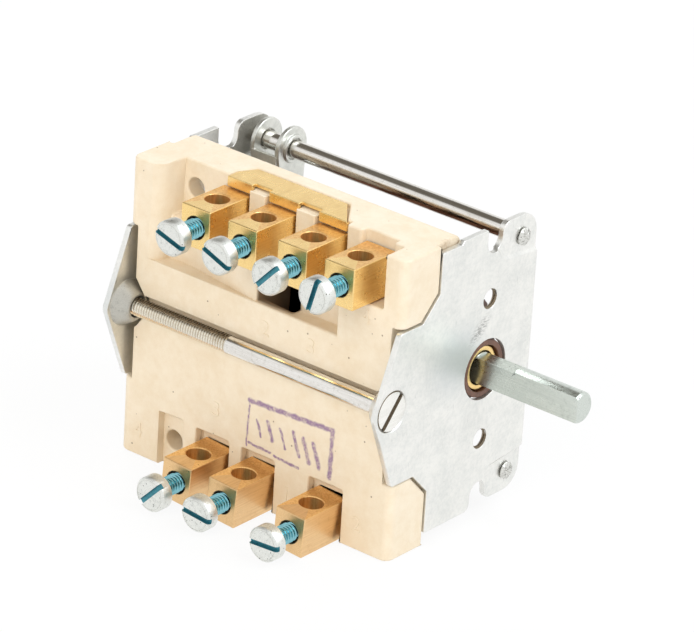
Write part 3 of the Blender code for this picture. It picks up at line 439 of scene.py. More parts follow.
@dataclass(frozen=True)
class Rounding:
    """How the edges of a piece are eased; zones and the usual width are at most the width."""

    width: float
    segments: int = 3
    sharp_deg: float = 28.0
    usual: float | None = None
    zones: tuple[Zone, ...] = ()
    neighbour_share: float = 0.4
    parallel_deg: float = 35.0

    def wanted(self, edge: BMEdge) -> float:
        """The rounding that an edge gets where it has room.

        Args:
            edge: The edge.

        Returns:
            Its width in millimetres.
        """
        middle = (edge.verts[0].co + edge.verts[1].co) / 2
        for zone in self.zones:
            if zone.holds(middle, edge.is_convex):
                return zone.width
        return self.usual or self.width

    def weigh(self, bm: BMesh) -> None:
        """Marks the sharp edges of a mesh, less where a neighbour is short.

        Args:
            bm: The mesh.
        """
        layer = bm.edges.layers.float.new("bevel_weight_edge")
        parallel = math.cos(math.radians(self.parallel_deg))
        sharp = math.radians(self.sharp_deg)
        for edge in bm.edges:
            if len(edge.link_faces) != 2 or edge.calc_face_angle(0.0) < sharp:
                continue
            along = (edge.verts[1].co - edge.verts[0].co).normalized()
            width = self.wanted(edge)
            if width == 0:
                edge.smooth = False
                continue
            for other in {e for v in edge.verts for e in v.link_edges if e is not edge}:
                heading = (other.verts[1].co - other.verts[0].co).normalized()
                if abs(heading.dot(along)) < parallel:
                    width = min(width, self.neighbour_share * other.calc_length())
            edge[layer] = width / self.width


def finish_piece(name: str, bm: BMesh, materials: Sequence[Material],
                 body: str | None, nodes: Sequence[str] = (),
                 rounding: Rounding | None = None) -> Object:
    """Writes a mesh as a finished piece that rides on its body.

    Args:
        name: Name of the piece.
        bm: Its mesh in switch millimetres, which is freed.
        materials: Its materials, in the order of the faces' indices.
        body: The CAD body that it moves with; None for a piece that is left unattached.
        nodes: CAD nodes that it stands for.
        rounding: How its edges are eased.

    Returns:
        The piece.
    """
    if rounding:
        rounding.weigh(bm)
    bmesh.ops.transform(bm, verts=bm.verts, matrix=DATUM.to_frame())
    for face in bm.faces:
        face.smooth = True
    thing = shown(name, bm)
    for material in materials:
        thing.data.materials.append(material)
    if rounding:
        ease = thing.modifiers.new("rounding", "BEVEL")
        ease.limit_method = "WEIGHT"
        ease.offset_type = "OFFSET"
        ease.width = rounding.width * MM
        ease.segments = rounding.segments
        ease.use_clamp_overlap = False
        ease.miter_outer = "MITER_ARC"
        thing.modifiers.new("even_shading", "WEIGHTED_NORMAL").keep_sharp = True
    else:
        thing.data.set_sharp_from_angle(angle=math.radians(40.0))
    if body:
        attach(thing, body)
    if nodes:
        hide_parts(*nodes)
    log.info("%s: %d faces on %s", name, len(thing.data.polygons), body or "two bodies")
    return thing


def ease_copy(node: str, suffix: str, material: Material, body: str, width: float,
              segments: int = 2) -> None:
    """Finishes a copy of a CAD node with its edges eased.

    Args:
        node: Name of the node.
        suffix: What the piece's name adds to it.
        material: Its material.
        body: The body that it moves with.
        width: Width of the rounding.
        segments: Steps of the rounding.
    """
    finish_piece(f"{node}_{suffix}", cad_copy(node), [material], body, [node],
                 Rounding(width, segments))


# Node tools
class Graph:
    """Adds and links nodes in one node tree."""

    def __init__(self, tree: NodeTree) -> None:
        """Keeps the tree.

        Args:
            tree: The tree that nodes are added to.
        """
        self.tree = tree

    def feed(self, socket: NodeSocket, value: Value) -> None:
        """Links a socket, or sets its value.

        Args:
            socket: The input.
            value: Another node's output, a number, a vector or a colour.
        """
        if isinstance(value, NodeSocket):
            self.tree.links.new(value, socket)
        elif isinstance(value, tuple) and len(value) == 3 and socket.type == "RGBA":
            socket.default_value = (*value, 1.0)
        else:
            socket.default_value = value

    def add(self, kind: str, inputs: dict[str | int, Value] | None = None,
            **settings: object) -> Node:
        """Adds a node.

        Args:
            kind: The node's type.
            inputs: Values or links for its inputs, by name or number.
            settings: The node's own properties.

        Returns:
            The node.
        """
        node = self.tree.nodes.new(kind)
        for key, value in settings.items():
            setattr(node, key, value)
        for key, value in (inputs or {}).items():
            self.feed(node.inputs[key], value)
        return node

    def math(self, operation: str, *values: Value, clamp: bool = False) -> NodeSocket:
        """Adds a Math node.

        Args:
            operation: Its operation.
            values: Its two or three values.
            clamp: Whether the result is kept from 0 to 1.

        Returns:
            Its output.
        """
        return self.add("ShaderNodeMath", dict(enumerate(values)), operation=operation,
                        use_clamp=clamp).outputs[0]

    def times(self, a: Value, b: Value) -> NodeSocket:
        """Multiplies two values.

        Args:
            a: First value.
            b: Second value.

        Returns:
            Their product.
        """
        return self.math("MULTIPLY", a, b)

    def vector(self, operation: str, *values: Value, out: str = "Vector") -> NodeSocket:
        """Adds a Vector Math node.

        Args:
            operation: Its operation.
            values: Its vectors.
            out: Name of the output.

        Returns:
            That output.
        """
        return self.add("ShaderNodeVectorMath", dict(enumerate(values)),
                        operation=operation).outputs[out]

    def scaled(self, vector: Value, factor: Value) -> NodeSocket:
        """Scales a vector.

        Args:
            vector: The vector.
            factor: The factor.

        Returns:
            The longer or shorter vector.
        """
        return self.add("ShaderNodeVectorMath", {0: vector, "Scale": factor},
                        operation="SCALE").outputs[0]

    def mix(self, factor: Value, a: Value, b: Value) -> NodeSocket:
        """Mixes two colours.

        Args:
            factor: Share of the second.
            a: First colour.
            b: Second colour.

        Returns:
            The mixed colour.
        """
        return self.add("ShaderNodeMix", {0: factor, 6: a, 7: b}, data_type="RGBA").outputs[2]

    def stained(self, base: Value, overlay_colour: Value, mask: NodeSocket, share: float) -> NodeSocket:
        """Lays a second colour over a first where a mask is high.

        Args:
            base: The first colour.
            overlay_colour: The second colour.
            mask: Where it lies.
            share: How far it covers.

        Returns:
            The colour.
        """
        return self.mix(self.times(mask, share), base, overlay_colour)

    def span(self, value: Value, low: float, high: float, to_low: float = 0.0,
             to_high: float = 1.0) -> NodeSocket:
        """Maps a range smoothly onto another.

        Args:
            value: What is mapped.
            low: Start of its range.
            high: End of its range.
            to_low: What the start becomes.
            to_high: What the end becomes.

        Returns:
            The mapped value.
        """
        return self.add("ShaderNodeMapRange", dict(enumerate((value, low, high, to_low, to_high))),
                        interpolation_type="SMOOTHSTEP").outputs[0]

    def noise(self, where: Value, scale: float, detail: float = 3.0,
              rough: float = 0.55) -> NodeSocket:
        """Adds a noise texture.

        Args:
            where: Its coordinates.
            scale: Waves per millimetre.
            detail: Octaves.
            rough: Weight of the finer octaves.

        Returns:
            Its value.
        """
        return self.add("ShaderNodeTexNoise", {"Vector": where, "Scale": scale, "Detail": detail,
                                               "Roughness": rough}).outputs[0]


class GroupGraph(Graph):
    """A new node group that takes a vector and more, and gives one value or mask."""

    def __init__(self, name: str, out: str, **inputs: float | Triple) -> None:
        """Makes the group.

        Args:
            name: Its name.
            out: Name of its output.
            inputs: Defaults of its inputs besides the vector.
        """
        super().__init__(bpy.data.node_groups.new(name, "ShaderNodeTree"))
        sockets = self.tree.interface
        sockets.new_socket("Vector", in_out="INPUT", socket_type="NodeSocketVector")
        for label, default in inputs.items():
            kind = "NodeSocketVector" if isinstance(default, tuple) else "NodeSocketFloat"
            socket = sockets.new_socket(label, in_out="INPUT", socket_type=kind)
            socket.default_value = default
        sockets.new_socket(out, in_out="OUTPUT", socket_type="NodeSocketFloat")
        self.given = self.tree.nodes.new("NodeGroupInput").outputs
        self.result = self.tree.nodes.new("NodeGroupOutput").inputs

    def giving(self, value: NodeSocket) -> NodeTree:
        """Sends a value out.

        Args:
            value: What the group gives.

        Returns:
            The finished group.
        """
        self.feed(self.result[0], value)
        return self.tree


def mottle_group() -> NodeTree:
    """Cloudy variation at two scales, as on fired or plated surfaces.

    Returns:
        The group: a value round one half that spreads with Contrast.
    """
    graph = GroupGraph("Mottle", "Value", Scale=0.2, Contrast=1.0)
    wide = graph.scaled(graph.given["Vector"], graph.given["Scale"])
    clouds = graph.noise(wide, 1.0, 2.0)
    patches = graph.noise(wide, 5.3, 4.0, 0.6)
    both = graph.math("MULTIPLY_ADD", graph.math("ADD", clouds, patches), 0.5, -0.5)
    spread = graph.times(both, graph.given["Contrast"])
    return graph.giving(graph.math("ADD", spread, 0.5, clamp=True))


def specks_group() -> NodeTree:
    """Round specks or pinholes, scattered one to a cell with some cells bare.

    Returns:
        The group: a mask that is 1 on a speck.
    """
    graph = GroupGraph("Specks", "Mask", Scale=0.5, Radius=0.1, Share=0.5)
    given = graph.given
    cells = graph.add("ShaderNodeTexVoronoi", {"Vector": given["Vector"], "Scale": given["Scale"],
                                               "Randomness": 1.0}).outputs
    chance = graph.add("ShaderNodeSeparateColor", {0: cells["Color"]}).outputs
    inside = graph.math("SUBTRACT", graph.times(chance[1], given["Radius"]), cells["Distance"])
    soft = graph.math("MULTIPLY", inside, 40.0, clamp=True)
    return graph.giving(graph.times(soft, graph.math("LESS_THAN", chance[0], given["Share"])))


def grain_group() -> NodeTree:
    """Fine lines along one direction, as drawn, rolled or milled metal has.

    Returns:
        The group: a value round one half, stretched by the vector Stretch.
    """
    graph = GroupGraph("Grain", "Value", Stretch=(1.0, 1.0, 1.0), Scale=6.0)
    drawn = graph.vector("MULTIPLY", graph.given["Vector"], graph.given["Stretch"])
    return graph.giving(graph.noise(graph.scaled(drawn, graph.given["Scale"]), 1.0, 4.0, 0.65))


def stroke_group() -> NodeTree:
    """One soft stroke of ink on the terminal side, from start to end in y and z.

    Returns:
        The group: a mask that is 1 in the stroke's middle.
    """
    graph = GroupGraph("InkStroke", "Mask", Start=(0.0, 0.0, 0.0), End=(0.0, 0.0, 0.0), Width=0.5)
    given = graph.given
    flat = graph.vector("MULTIPLY", given["Vector"], (0.0, 1.0, 1.0))
    away = graph.vector("SUBTRACT", flat, given["Start"])
    line = graph.vector("SUBTRACT", given["End"], given["Start"])
    along = graph.math("DIVIDE", graph.vector("DOT_PRODUCT", away, line, out="Value"),
                       graph.vector("DOT_PRODUCT", line, line, out="Value"), clamp=True)
    gap = graph.vector("DISTANCE", away, graph.scaled(line, along), out="Value")
    return graph.giving(graph.span(graph.math("DIVIDE", gap, given["Width"]), 1.0, 0.35))


@dataclass(frozen=True)
class Effects:
    """The node groups that the finishes share, each built once."""

    mottle: NodeTree = field(default_factory=mottle_group)
    specks: NodeTree = field(default_factory=specks_group)
    grain: NodeTree = field(default_factory=grain_group)
    stroke: NodeTree = field(default_factory=stroke_group)


EFFECTS = Effects()


class Surface(Graph):
    """A material's tree with its shader and its coordinates in switch millimetres."""

    def __init__(self, name: str) -> None:
        """Makes the material.

        Args:
            name: Its name.
        """
        self.material = bpy.data.materials.new(name)
        self.material.use_nodes = True
        super().__init__(self.material.node_tree)
        self.shader = self.tree.nodes["Principled BSDF"].inputs
        found = self.add("ShaderNodeTexCoord").outputs["Object"]
        self.where = self.add("ShaderNodeMapping", {
            "Vector": found, "Location": tuple(-DATUM.origin / MM), "Scale": (1 / MM,) * 3,
        }).outputs[0]

    def effect(self, group: NodeTree, **inputs: Value) -> NodeSocket:
        """Places one of the shared groups.

        Args:
            group: The group.
            inputs: Its inputs; the vector is the surface's place if it isn't given.

        Returns:
            Its output.
        """
        given = {"Vector": self.where, **inputs}
        return self.add("ShaderNodeGroup", given, node_tree=group).outputs[0]

    def places(self) -> Sequence[NodeSocket]:
        """The surface's x, y and z in switch millimetres."""
        return self.add("ShaderNodeSeparateXYZ", {0: self.where}).outputs

    def away(self, point: Triple) -> NodeSocket:
        """Distance from a point of the switch.

        Args:
            point: The point.

        Returns:
            The distance in millimetres.
        """
        return self.vector("DISTANCE", self.where, point, out="Value")

    def within(self, low: Triple, high: Triple, soft: float) -> NodeSocket:
        """A region with soft sides.

        Args:
            low: Its lowest corner.
            high: Its highest corner.
            soft: Half the width of each fading side.

        Returns:
            A mask that is 1 inside.
        """
        mask: Value = 1.0
        for at, start, end in zip(self.places(), low, high):
            sides = self.times(self.span(at, start - soft, start + soft),
                               self.span(at, end + soft, end - soft))
            mask = self.times(mask, sides)
        return mask

    def bump(self, height: NodeSocket, depth_mm: float, strength: float) -> None:
        """Feeds a height to the shader's normal.

        Args:
            height: The height from 0 to 1.
            depth_mm: Depth of one unit.
            strength: How strongly it shows.
        """
        node = self.add("ShaderNodeBump", {"Height": height, "Strength": strength,
                                           "Distance": depth_mm * MM})
        self.feed(self.shader["Normal"], node.outputs[0])

    def dress(self, colour: Value, roughness: Value, metallic: float = 0.0,
              **constants: float) -> Material:
        """Sets the shader.

        Args:
            colour: Base colour.
            roughness: Roughness.
            metallic: Metallic.
            constants: Other sockets' plain values, with _ for a space.

        Returns:
            The material.
        """
        self.feed(self.shader["Base Color"], colour)
        self.feed(self.shader["Roughness"], roughness)
        self.shader["Metallic"].default_value = metallic
        for key, value in constants.items():
            self.shader[key.replace("_", " ")].default_value = value
        return self.material


# Finishes
@dataclass(frozen=True)
class Stroke:
    """A stroke of stamp ink on the terminal side: start, end and width in millimetres."""

    start: Pair
    end: Pair
    width: float


@dataclass(frozen=True)
class CeramicFinish:
    """Cream steatite with pinholes, dust specks and a worn stamp of plain strokes, with painted
    shade: dark brown inside the pit and a ragged brown patch in the recess behind the front plate's
    top edge.
    """

    name: str = "ceramic_finish"
    cream: Triple = (0.86, 0.755, 0.60)
    warm: Triple = (0.79, 0.655, 0.475)
    pinhole: Triple = (0.19, 0.12, 0.07)
    # Brown of the painted shade in the recess behind the front plate's top edge.
    overlay_colour: Triple = (0.42, 0.25, 0.12)
    ink: Triple = (0.21, 0.10, 0.27)
    # Middle and reach of that ragged patch of painted shade.
    recess_shade_middle: Triple = (-12.6, 0.4, 28.2)
    recess_shade_reach: float = 1.5
    # Painted shade: the dark brown laid inside the pit between pit_low and pit_high.
    pit_painted_shade: Triple = (0.16, 0.085, 0.035)
    pit_low: Triple = (-24.0, 26.0, 4.0)
    pit_high: Triple = (-8.0, 34.6, 17.6)
    wobble: float = 0.7
    ink_spread: float = 1.35
    strokes: tuple[Stroke, ...] = (
        Stroke((33.9, -9.8), (14.3, -9.0), 0.55),
        Stroke((14.3, -9.0), (14.5, -18.5), 0.5),
        Stroke((33.9, -9.8), (34.2, -19.0), 0.22),
        Stroke((33.6, -18.3), (28.6, -18.5), 0.3),
        Stroke((27.6, -18.9), (21.8, -19.2), 0.32),
        Stroke((32.0, -13.2), (30.9, -16.0), 0.3),
        Stroke((29.4, -12.6), (28.1, -16.0), 0.42),
        Stroke((26.4, -13.0), (25.1, -16.4), 0.3),
        Stroke((23.4, -12.6), (21.8, -16.8), 0.45),
        Stroke((21.0, -13.0), (19.4, -17.2), 0.5),
        Stroke((18.6, -13.2), (17.0, -17.4), 0.5),
    )

    def material(self) -> Material:
        """Builds the finish.

        Returns:
            The material.
        """
        surface = Surface(self.name)
        clouds = surface.effect(EFFECTS.mottle, Scale=0.06, Contrast=1.6)
        fine = surface.effect(EFFECTS.mottle, Scale=0.9, Contrast=1.2)
        tone = surface.math("MULTIPLY_ADD", fine, 0.35, surface.times(clouds, 0.65))
        base = surface.mix(surface.span(tone, 0.3, 0.75), self.cream, self.warm)
        pinholes = surface.effect(EFFECTS.specks, Scale=0.42, Radius=0.095, Share=0.55)
        dust = surface.effect(EFFECTS.specks, Scale=1.1, Radius=0.09, Share=0.35)
        spots = surface.math("MAXIMUM", pinholes, surface.times(dust, 0.45))
        colour = surface.stained(base, self.pinhole, spots, 0.75)
        # Painted shade: the pit's inside is darkened to dark brown.
        pit_shade_mask = surface.within(self.pit_low, self.pit_high, soft=0.5)
        colour = surface.stained(colour, self.pit_painted_shade, pit_shade_mask, 0.85)
        # Painted shade: a ragged brown patch in the recess behind the front plate's top edge.
        ragged = surface.math("MULTIPLY_ADD", surface.noise(surface.where, 1.6, 4.0),
                              self.recess_shade_reach * 1.6, surface.away(self.recess_shade_middle))
        recess_shade_mask = surface.span(ragged, self.recess_shade_reach * 2.1, self.recess_shade_reach * 1.1)
        colour = surface.stained(colour, self.overlay_colour, recess_shade_mask, 0.8)
        colour = surface.mix(self.ink_mask(surface), colour, self.ink)
        skin = surface.noise(surface.where, 2.2, 5.0, 0.6)
        surface.bump(surface.math("SUBTRACT", skin, surface.times(spots, 2.5)), 0.05, 0.5)
        return surface.dress(colour, surface.math("MULTIPLY_ADD", fine, 0.25, 0.38))

    def ink_mask(self, surface: Surface) -> NodeSocket:
        """All strokes of the stamp, broken up as worn ink is.

        Args:
            surface: The ceramic's tree.

        Returns:
            The mask.
        """
        wobble = surface.add("ShaderNodeTexNoise", {"Vector": surface.where, "Scale": 0.7,
                                                    "Detail": 2.0}).outputs["Color"]
        centred = surface.vector("ADD", surface.where, (0.0, -self.wobble / 2, -self.wobble / 2))
        shaken = surface.vector("MULTIPLY_ADD", wobble, (0.0, self.wobble, self.wobble), centred)
        total: NodeSocket | None = None
        for stroke in self.strokes:
            line = surface.effect(EFFECTS.stroke, Vector=shaken, Start=(0.0, *stroke.start),
                                  End=(0.0, *stroke.end), Width=self.ink_spread * stroke.width)
            total = line if total is None else surface.math("MAXIMUM", total, line)
        worn = surface.span(surface.noise(surface.where, 1.5, 5.0, 0.7), 0.34, 0.58, 0.3, 0.85)
        face_x = DATUM.extent("ceramic_body").low.x
        on_face = surface.math("LESS_THAN", surface.places()[0], face_x + 0.4)
        return surface.times(surface.times(total, worn), on_face)


@dataclass(frozen=True)
class SheetFinish:
    """Zinc plated sheet: pale, cloudy, with fine scratches, a rubbed grey patch and a soft
    bluish-grey painted reflection.
    """

    name: str = "zinc_plate_finish"
    pale: Triple = (0.90, 0.895, 0.86)
    dull: Triple = (0.76, 0.77, 0.745)
    grime_and_painted_shade: Triple = (0.26, 0.26, 0.25)
    # Bluish grey of the soft painted reflection patch.
    painted_reflection: Triple = (0.62, 0.66, 0.67)
    rub_middle: Triple = (-2.5, 0.0, 8.6)
    rub_deg: float = -50.0
    rub_squeeze: Triple = (0.62, 0.3, 0.27)
    painted_reflection_middle: Triple = (-9.0, 0.0, 4.5)
    roughness: float = 0.26
    metallic: float = 0.92

    def material(self) -> Material:
        """Builds the finish.

        Returns:
            The material.
        """
        surface = Surface(self.name)
        clouds = surface.effect(EFFECTS.mottle, Scale=0.16, Contrast=2.2)
        crystals = surface.effect(EFFECTS.mottle, Scale=1.6, Contrast=2.0)
        tone = surface.math("MULTIPLY_ADD", crystals, 0.4, surface.times(clouds, 0.6))
        colour = surface.mix(surface.span(tone, 0.25, 0.8), self.pale, self.dull)
        # Painted reflection: a soft bluish-grey patch round its middle, fading out over 10 mm.
        shade = surface.span(surface.away(self.painted_reflection_middle), 10.0, 2.0)
        colour = surface.stained(colour, self.painted_reflection, shade, 0.6)
        drawn = surface.effect(EFFECTS.grain, Stretch=(1.0, 1.0, 0.06), Scale=5.0)
        scratches = surface.span(drawn, 0.62, 0.72)
        colour = surface.stained(colour, self.grime_and_painted_shade, scratches, 0.35)
        spots = surface.effect(EFFECTS.specks, Scale=0.8, Radius=0.09, Share=0.25)
        colour = surface.stained(colour, self.grime_and_painted_shade, spots, 0.4)
        slanted = surface.add("ShaderNodeVectorRotate", {
            "Vector": surface.vector("SUBTRACT", surface.where, self.rub_middle),
            "Angle": math.radians(self.rub_deg)}, rotation_type="Y_AXIS").outputs[0]
        squeezed = surface.vector("MULTIPLY", slanted, self.rub_squeeze)
        patch = surface.span(surface.vector("LENGTH", squeezed, out="Value"), 1.25, 0.35)
        hatch = surface.effect(EFFECTS.grain, Stretch=(0.3, 1.0, 1.0), Scale=3.2)
        rub = surface.times(patch, surface.span(hatch, 0.42, 0.6))
        colour = surface.stained(colour, self.grime_and_painted_shade, rub, 0.7)
        surface.bump(surface.math("ADD", crystals, scratches), 0.012, 0.6)
        roughness = surface.math("MULTIPLY_ADD", crystals, 0.22, self.roughness)
        return surface.dress(colour, roughness, self.metallic)


@dataclass(frozen=True)
class MetalFinish:
    """A bare or plated metal with grain along one direction, with painted shade above a given
    height if one is set.
    """

    name: str
    light: Triple
    dark: Triple
    roughness: float
    stretch: Triple = (1.0, 1.0, 1.0)
    lines: float = 5.0
    line_depth: float = 0.006
    clouds: float = 0.35
    tarnish: float = 0.25
    metallic: float = 1.0
    pits: float = 0.0
    # Height above which the upper side is darkened as painted shade.
    painted_shade_from: float | None = None
    # Dark brown of the painted shade above that height.
    grime_and_painted_shade: Triple = (0.13, 0.095, 0.06)
    grain_share: float = 0.35

    def material(self) -> Material:
        """Builds the finish.

        Returns:
            The material.
        """
        surface = Surface(self.name)
        grain = surface.effect(EFFECTS.grain, Stretch=self.stretch, Scale=self.lines)
        clouds = surface.effect(EFFECTS.mottle, Scale=self.clouds, Contrast=2.4)
        drawn = surface.times(surface.span(grain, 0.35, 0.7), self.grain_share)
        tone = surface.math("MULTIPLY_ADD", surface.span(clouds, 0.55, 0.9), self.tarnish, drawn,
                            clamp=True)
        colour = surface.mix(tone, self.light, self.dark)
        if self.pits:
            pits = surface.effect(EFFECTS.specks, Scale=1.5, Radius=0.2, Share=self.pits)
            colour = surface.mix(pits, colour, tuple(0.3 * part for part in self.dark))
        # Painted shade: the upper side darkened above a height, where the channel's overhang shades
        # the tie screw.
        if self.painted_shade_from is not None:
            upper_shade_band = surface.span(surface.places()[2], self.painted_shade_from - 0.12, self.painted_shade_from + 0.12)
            colour = surface.stained(colour, self.grime_and_painted_shade, upper_shade_band, 0.8)
        surface.bump(grain, self.line_depth, 0.7)
        roughness = surface.math("MULTIPLY_ADD", clouds, 0.18, self.roughness - 0.09, clamp=True)
        return surface.dress(colour, roughness, self.metallic)


@dataclass(frozen=True)
class PhenolicFinish:
    """Glossy brown moulding with darker swirls."""

    name: str = "brown_phenolic_finish"
    light: Triple = (0.20, 0.080, 0.040)
    dark: Triple = (0.075, 0.028, 0.014)

    def material(self) -> Material:
        """Builds the finish.

        Returns:
            The material.
        """
        surface = Surface(self.name)
        swirl = surface.effect(EFFECTS.mottle, Scale=0.5, Contrast=2.2)
        surface.bump(surface.noise(surface.where, 3.0), 0.01, 0.5)
        return surface.dress(surface.mix(swirl, self.light, self.dark),
                             surface.math("MULTIPLY_ADD", swirl, 0.12, 0.3),
                             Coat_Weight=0.1, Coat_Roughness=0.2)


class Finishes:
    """Every material of the switch, built once."""

    def __init__(self) -> None:
        """Builds the materials."""
        along_y, along_x = (1.0, 0.035, 1.0), (0.035, 1.0, 1.0)
        self.ceramic = CeramicFinish().material()
        self.plate = SheetFinish().material()
        tie = DATUM.extent("tie_screw")
        collar = (tie.middle[0], tie.high.y - 2.6, tie.middle[2])
        self.rear_plate = SheetFinish("rear_plate_finish", rub_middle=collar,
                                      painted_reflection_middle=collar).material()
        self.lever = SheetFinish("lever_finish", (0.78, 0.785, 0.735), (0.62, 0.63, 0.59),
                                 rub_middle=collar).material()
        self.rod = MetalFinish("bright_rod_finish", (0.84, 0.82, 0.785), (0.50, 0.46, 0.39), 0.15,
                               along_y, 3.0, clouds=1.3, tarnish=0.35).material()
        # Painted shade: the tie screw's thread and valley finishes darken their upper side above
        # the collar.
        self.thread = MetalFinish("rolled_thread_finish", (0.95, 0.93, 0.87), (0.66, 0.60, 0.50),
                                  0.24, along_y, 3.0, painted_shade_from=collar[2] + 1.45).material()
        # Painted shade: a darker copy of the thread finish for the thread's roots.
        self.valley = MetalFinish("thread_valley_finish", (0.58, 0.49, 0.36), (0.32, 0.25, 0.16),
                                  0.4, along_y, 3.0, metallic=0.8,
                                  painted_shade_from=collar[2] + 1.0).material()
        self.tie_head = MetalFinish("tie_head_finish", (0.95, 0.94, 0.90), (0.74, 0.73, 0.68), 0.3,
                                    along_x, 3.0, tarnish=0.2).material()
        self.collar = MetalFinish("dull_collar_finish", (0.56, 0.55, 0.50), (0.36, 0.35, 0.32),
                                  0.5, clouds=0.8, tarnish=0.5, metallic=0.85).material()
        # Painted shade: a dark finish for holes, bores, slot sides and seams.
        self.crevice = MetalFinish("crevice_finish", (0.22, 0.17, 0.11), (0.09, 0.07, 0.05), 0.5,
                                   metallic=0.5).material()
        self.shaft = MetalFinish("ground_shaft_finish", (0.69, 0.735, 0.69), (0.45, 0.50, 0.46),
                                 0.30, along_y, 4.0, tarnish=0.4, pits=0.25).material()
        self.rivet = MetalFinish("hammered_rivet_finish", (0.82, 0.82, 0.78), (0.24, 0.23, 0.21),
                                 0.30, clouds=1.6, line_depth=0.06, tarnish=0.7,
                                 pits=0.5).material()
        self.brass = MetalFinish("brass_finish", (1.0, 0.735, 0.32), (0.74, 0.47, 0.17), 0.30,
                                 along_x, 4.0, 0.002, tarnish=0.15, metallic=0.95).material()
        self.warm_brass = MetalFinish("warm_brass_finish", (0.88, 0.60, 0.31), (0.60, 0.36, 0.16),
                                      0.34, along_x, 4.0, 0.002, metallic=0.95).material()
        self.bore = MetalFinish("brass_bore_finish", (1.0, 0.66, 0.28), (0.72, 0.38, 0.12), 0.34,
                                (1.0, 1.0, 0.08), 2.2, 0.015, metallic=0.85,
                                grain_share=0.7).material()
        self.head = MetalFinish("screw_head_finish", (0.85, 0.86, 0.82), (0.50, 0.52, 0.49), 0.40,
                                clouds=1.3, line_depth=0.03, tarnish=0.65, pits=0.4).material()
        self.passivated = MetalFinish("blue_thread_finish", (0.27, 0.56, 0.62), (0.07, 0.24, 0.30),
                                      0.18, clouds=0.8, tarnish=0.6).material()
        # Painted shade: a darker copy of the blue thread finish for slots and thread cores.
        self.slot = MetalFinish("blue_slot_finish", (0.07, 0.30, 0.37), (0.02, 0.10, 0.13), 0.34,
                                clouds=1.0, tarnish=0.75, metallic=0.6, pits=0.3).material()
        self.spring = MetalFinish("spring_wire_finish", (0.50, 0.50, 0.49), (0.26, 0.25, 0.24),
                                  0.3).material()
        self.bronze = MetalFinish("contact_bronze_finish", (0.72, 0.47, 0.28), (0.44, 0.25, 0.13),
                                  0.32, (1.0, 1.0, 0.05), 4.0).material()
        self.phenolic = PhenolicFinish().material()


FINISH = Finishes()


# Sub-assemblies
@dataclass(frozen=True)
class CeramicBody:
    """The moulded body with its edges eased and its terminal numbers raised.

    Its noses are softer than the rest. The edges at the seats' rear arc, at the ledge's root and
    at the spare lower seat stay sharp, because no rounding fits between their neighbours.
    """

    edge: float = 0.42
    nose_edge: float = 0.8
    zones: tuple[Zone, ...] = (
        Zone(0.8, x=(-20.2, -19.0), z=(17.0, 28.6), convex=True),
        Zone(0.0, x=(-INFINITE, -22.0), y=(57.0, 60.5), z=(28.2, INFINITE)),
        Zone(0.0, z=(9.7, 9.9), convex=False),
        Zone(0.0, x=(-INFINITE, -22.9), y=(55.0, 56.2), z=(-INFINITE, -19.0)),
    )
    digit_height: float = 3.1
    height_share: float = 0.72
    digit_raise: float = 0.09
    digit_bevel: float = 0.05
    numbers: tuple[tuple[str, float, float], ...] = (
        ("2", 31.3, 5.3), ("3", 20.5, 5.4), ("4", 8.5, 15.4),
        ("4", 60.4, -25.4), ("3", 41.8, -14.6), ("1", 24.2, -25.5), ("2", 7.7, -25.5))

    def build(self) -> None:
        """Builds the body and its numbers."""
        finish_piece("ceramic_moulding", cad_copy("ceramic_body"), [FINISH.ceramic],
                     BODY, ["ceramic_body"],
                     Rounding(self.nose_edge, usual=self.edge, zones=self.zones))
        face_x = DATUM.extent("ceramic_body").low.x
        for index, (text, y, z) in enumerate(self.numbers, 1):
            finish_piece(f"terminal_number_{index}", self.digit(text, face_x, y, z),
                         [FINISH.ceramic], BODY)

    def digit(self, text: str, face_x: float, y: float, z: float) -> BMesh:
        """A raised number that reads from the terminal side.

        Args:
            text: The number.
            face_x: The face that it stands on.
            y: Middle of the number.
            z: Middle of the number.

        Returns:
            Its mesh.
        """
        curve = bpy.data.curves.new("number", "FONT")
        curve.body = text
        curve.size = self.digit_height / self.height_share
        curve.align_x = "CENTER"
        curve.align_y = "CENTER"
        curve.offset = -self.digit_bevel
        curve.extrude = self.digit_raise
        curve.bevel_depth = self.digit_bevel
        bm = from_curve(curve)
        upright = Matrix(((0, 0, -1, face_x), (-1, 0, 0, y), (0, 1, 0, z), (0, 0, 0, 1)))
        bmesh.ops.transform(bm, verts=bm.verts, matrix=upright)
        return bm


@dataclass(frozen=True)
class EndPlates:
    """The two plates with eased edges and the threads of the front one's holes."""

    edge: float = 0.16
    hole_d: float = 3.9
    hole_pitch: float = 28.0
    thickness: float = 1.2
    thread_pitch: float = 0.4
    thread_depth: float = 0.28
    thread_inset: float = 0.12

    def build(self) -> None:
        """Builds both plates and the threads."""
        rear_face = DATUM.extent("rear_plate").high.y - self.thickness
        for side, finish in (("front", FINISH.plate), ("rear", FINISH.rear_plate)):
            sheet = cad_copy(f"{side}_plate")
            for face in sheet.faces:
                collar = side == "rear" and face.calc_center_median().y < rear_face - 0.05
                face.material_index = int(collar)
            finish_piece(f"{side}_plate_sheet", sheet, [finish, FINISH.collar], BODY,
                         [f"{side}_plate"], Rounding(self.edge, 2))
        # Painted shade: the threads inside the fixing holes are drawn in the dark finish.
        for label, sign in (("upper", 1), ("lower", -1)):
            finish_piece(f"{label}_mount_thread", self.thread(sign * self.hole_pitch / 2),
                         [FINISH.crevice], BODY)

    def thread(self, z: float) -> BMesh:
        """The thread inside one of the front plate's fixing holes.

        Args:
            z: Height of the hole.

        Returns:
            Its mesh.
        """
        outer, inner = self.hole_d / 2 + 0.02, self.hole_d / 2 - self.thread_depth
        start, pitch = self.thread_inset, self.thread_pitch
        section = [(outer, start), (inner, start + pitch / 2), (outer, start + pitch)]
        turns = (self.thickness - 2 * start) / pitch - 1
        return helix(Axis.Y, (0.0, z), section, pitch, turns)


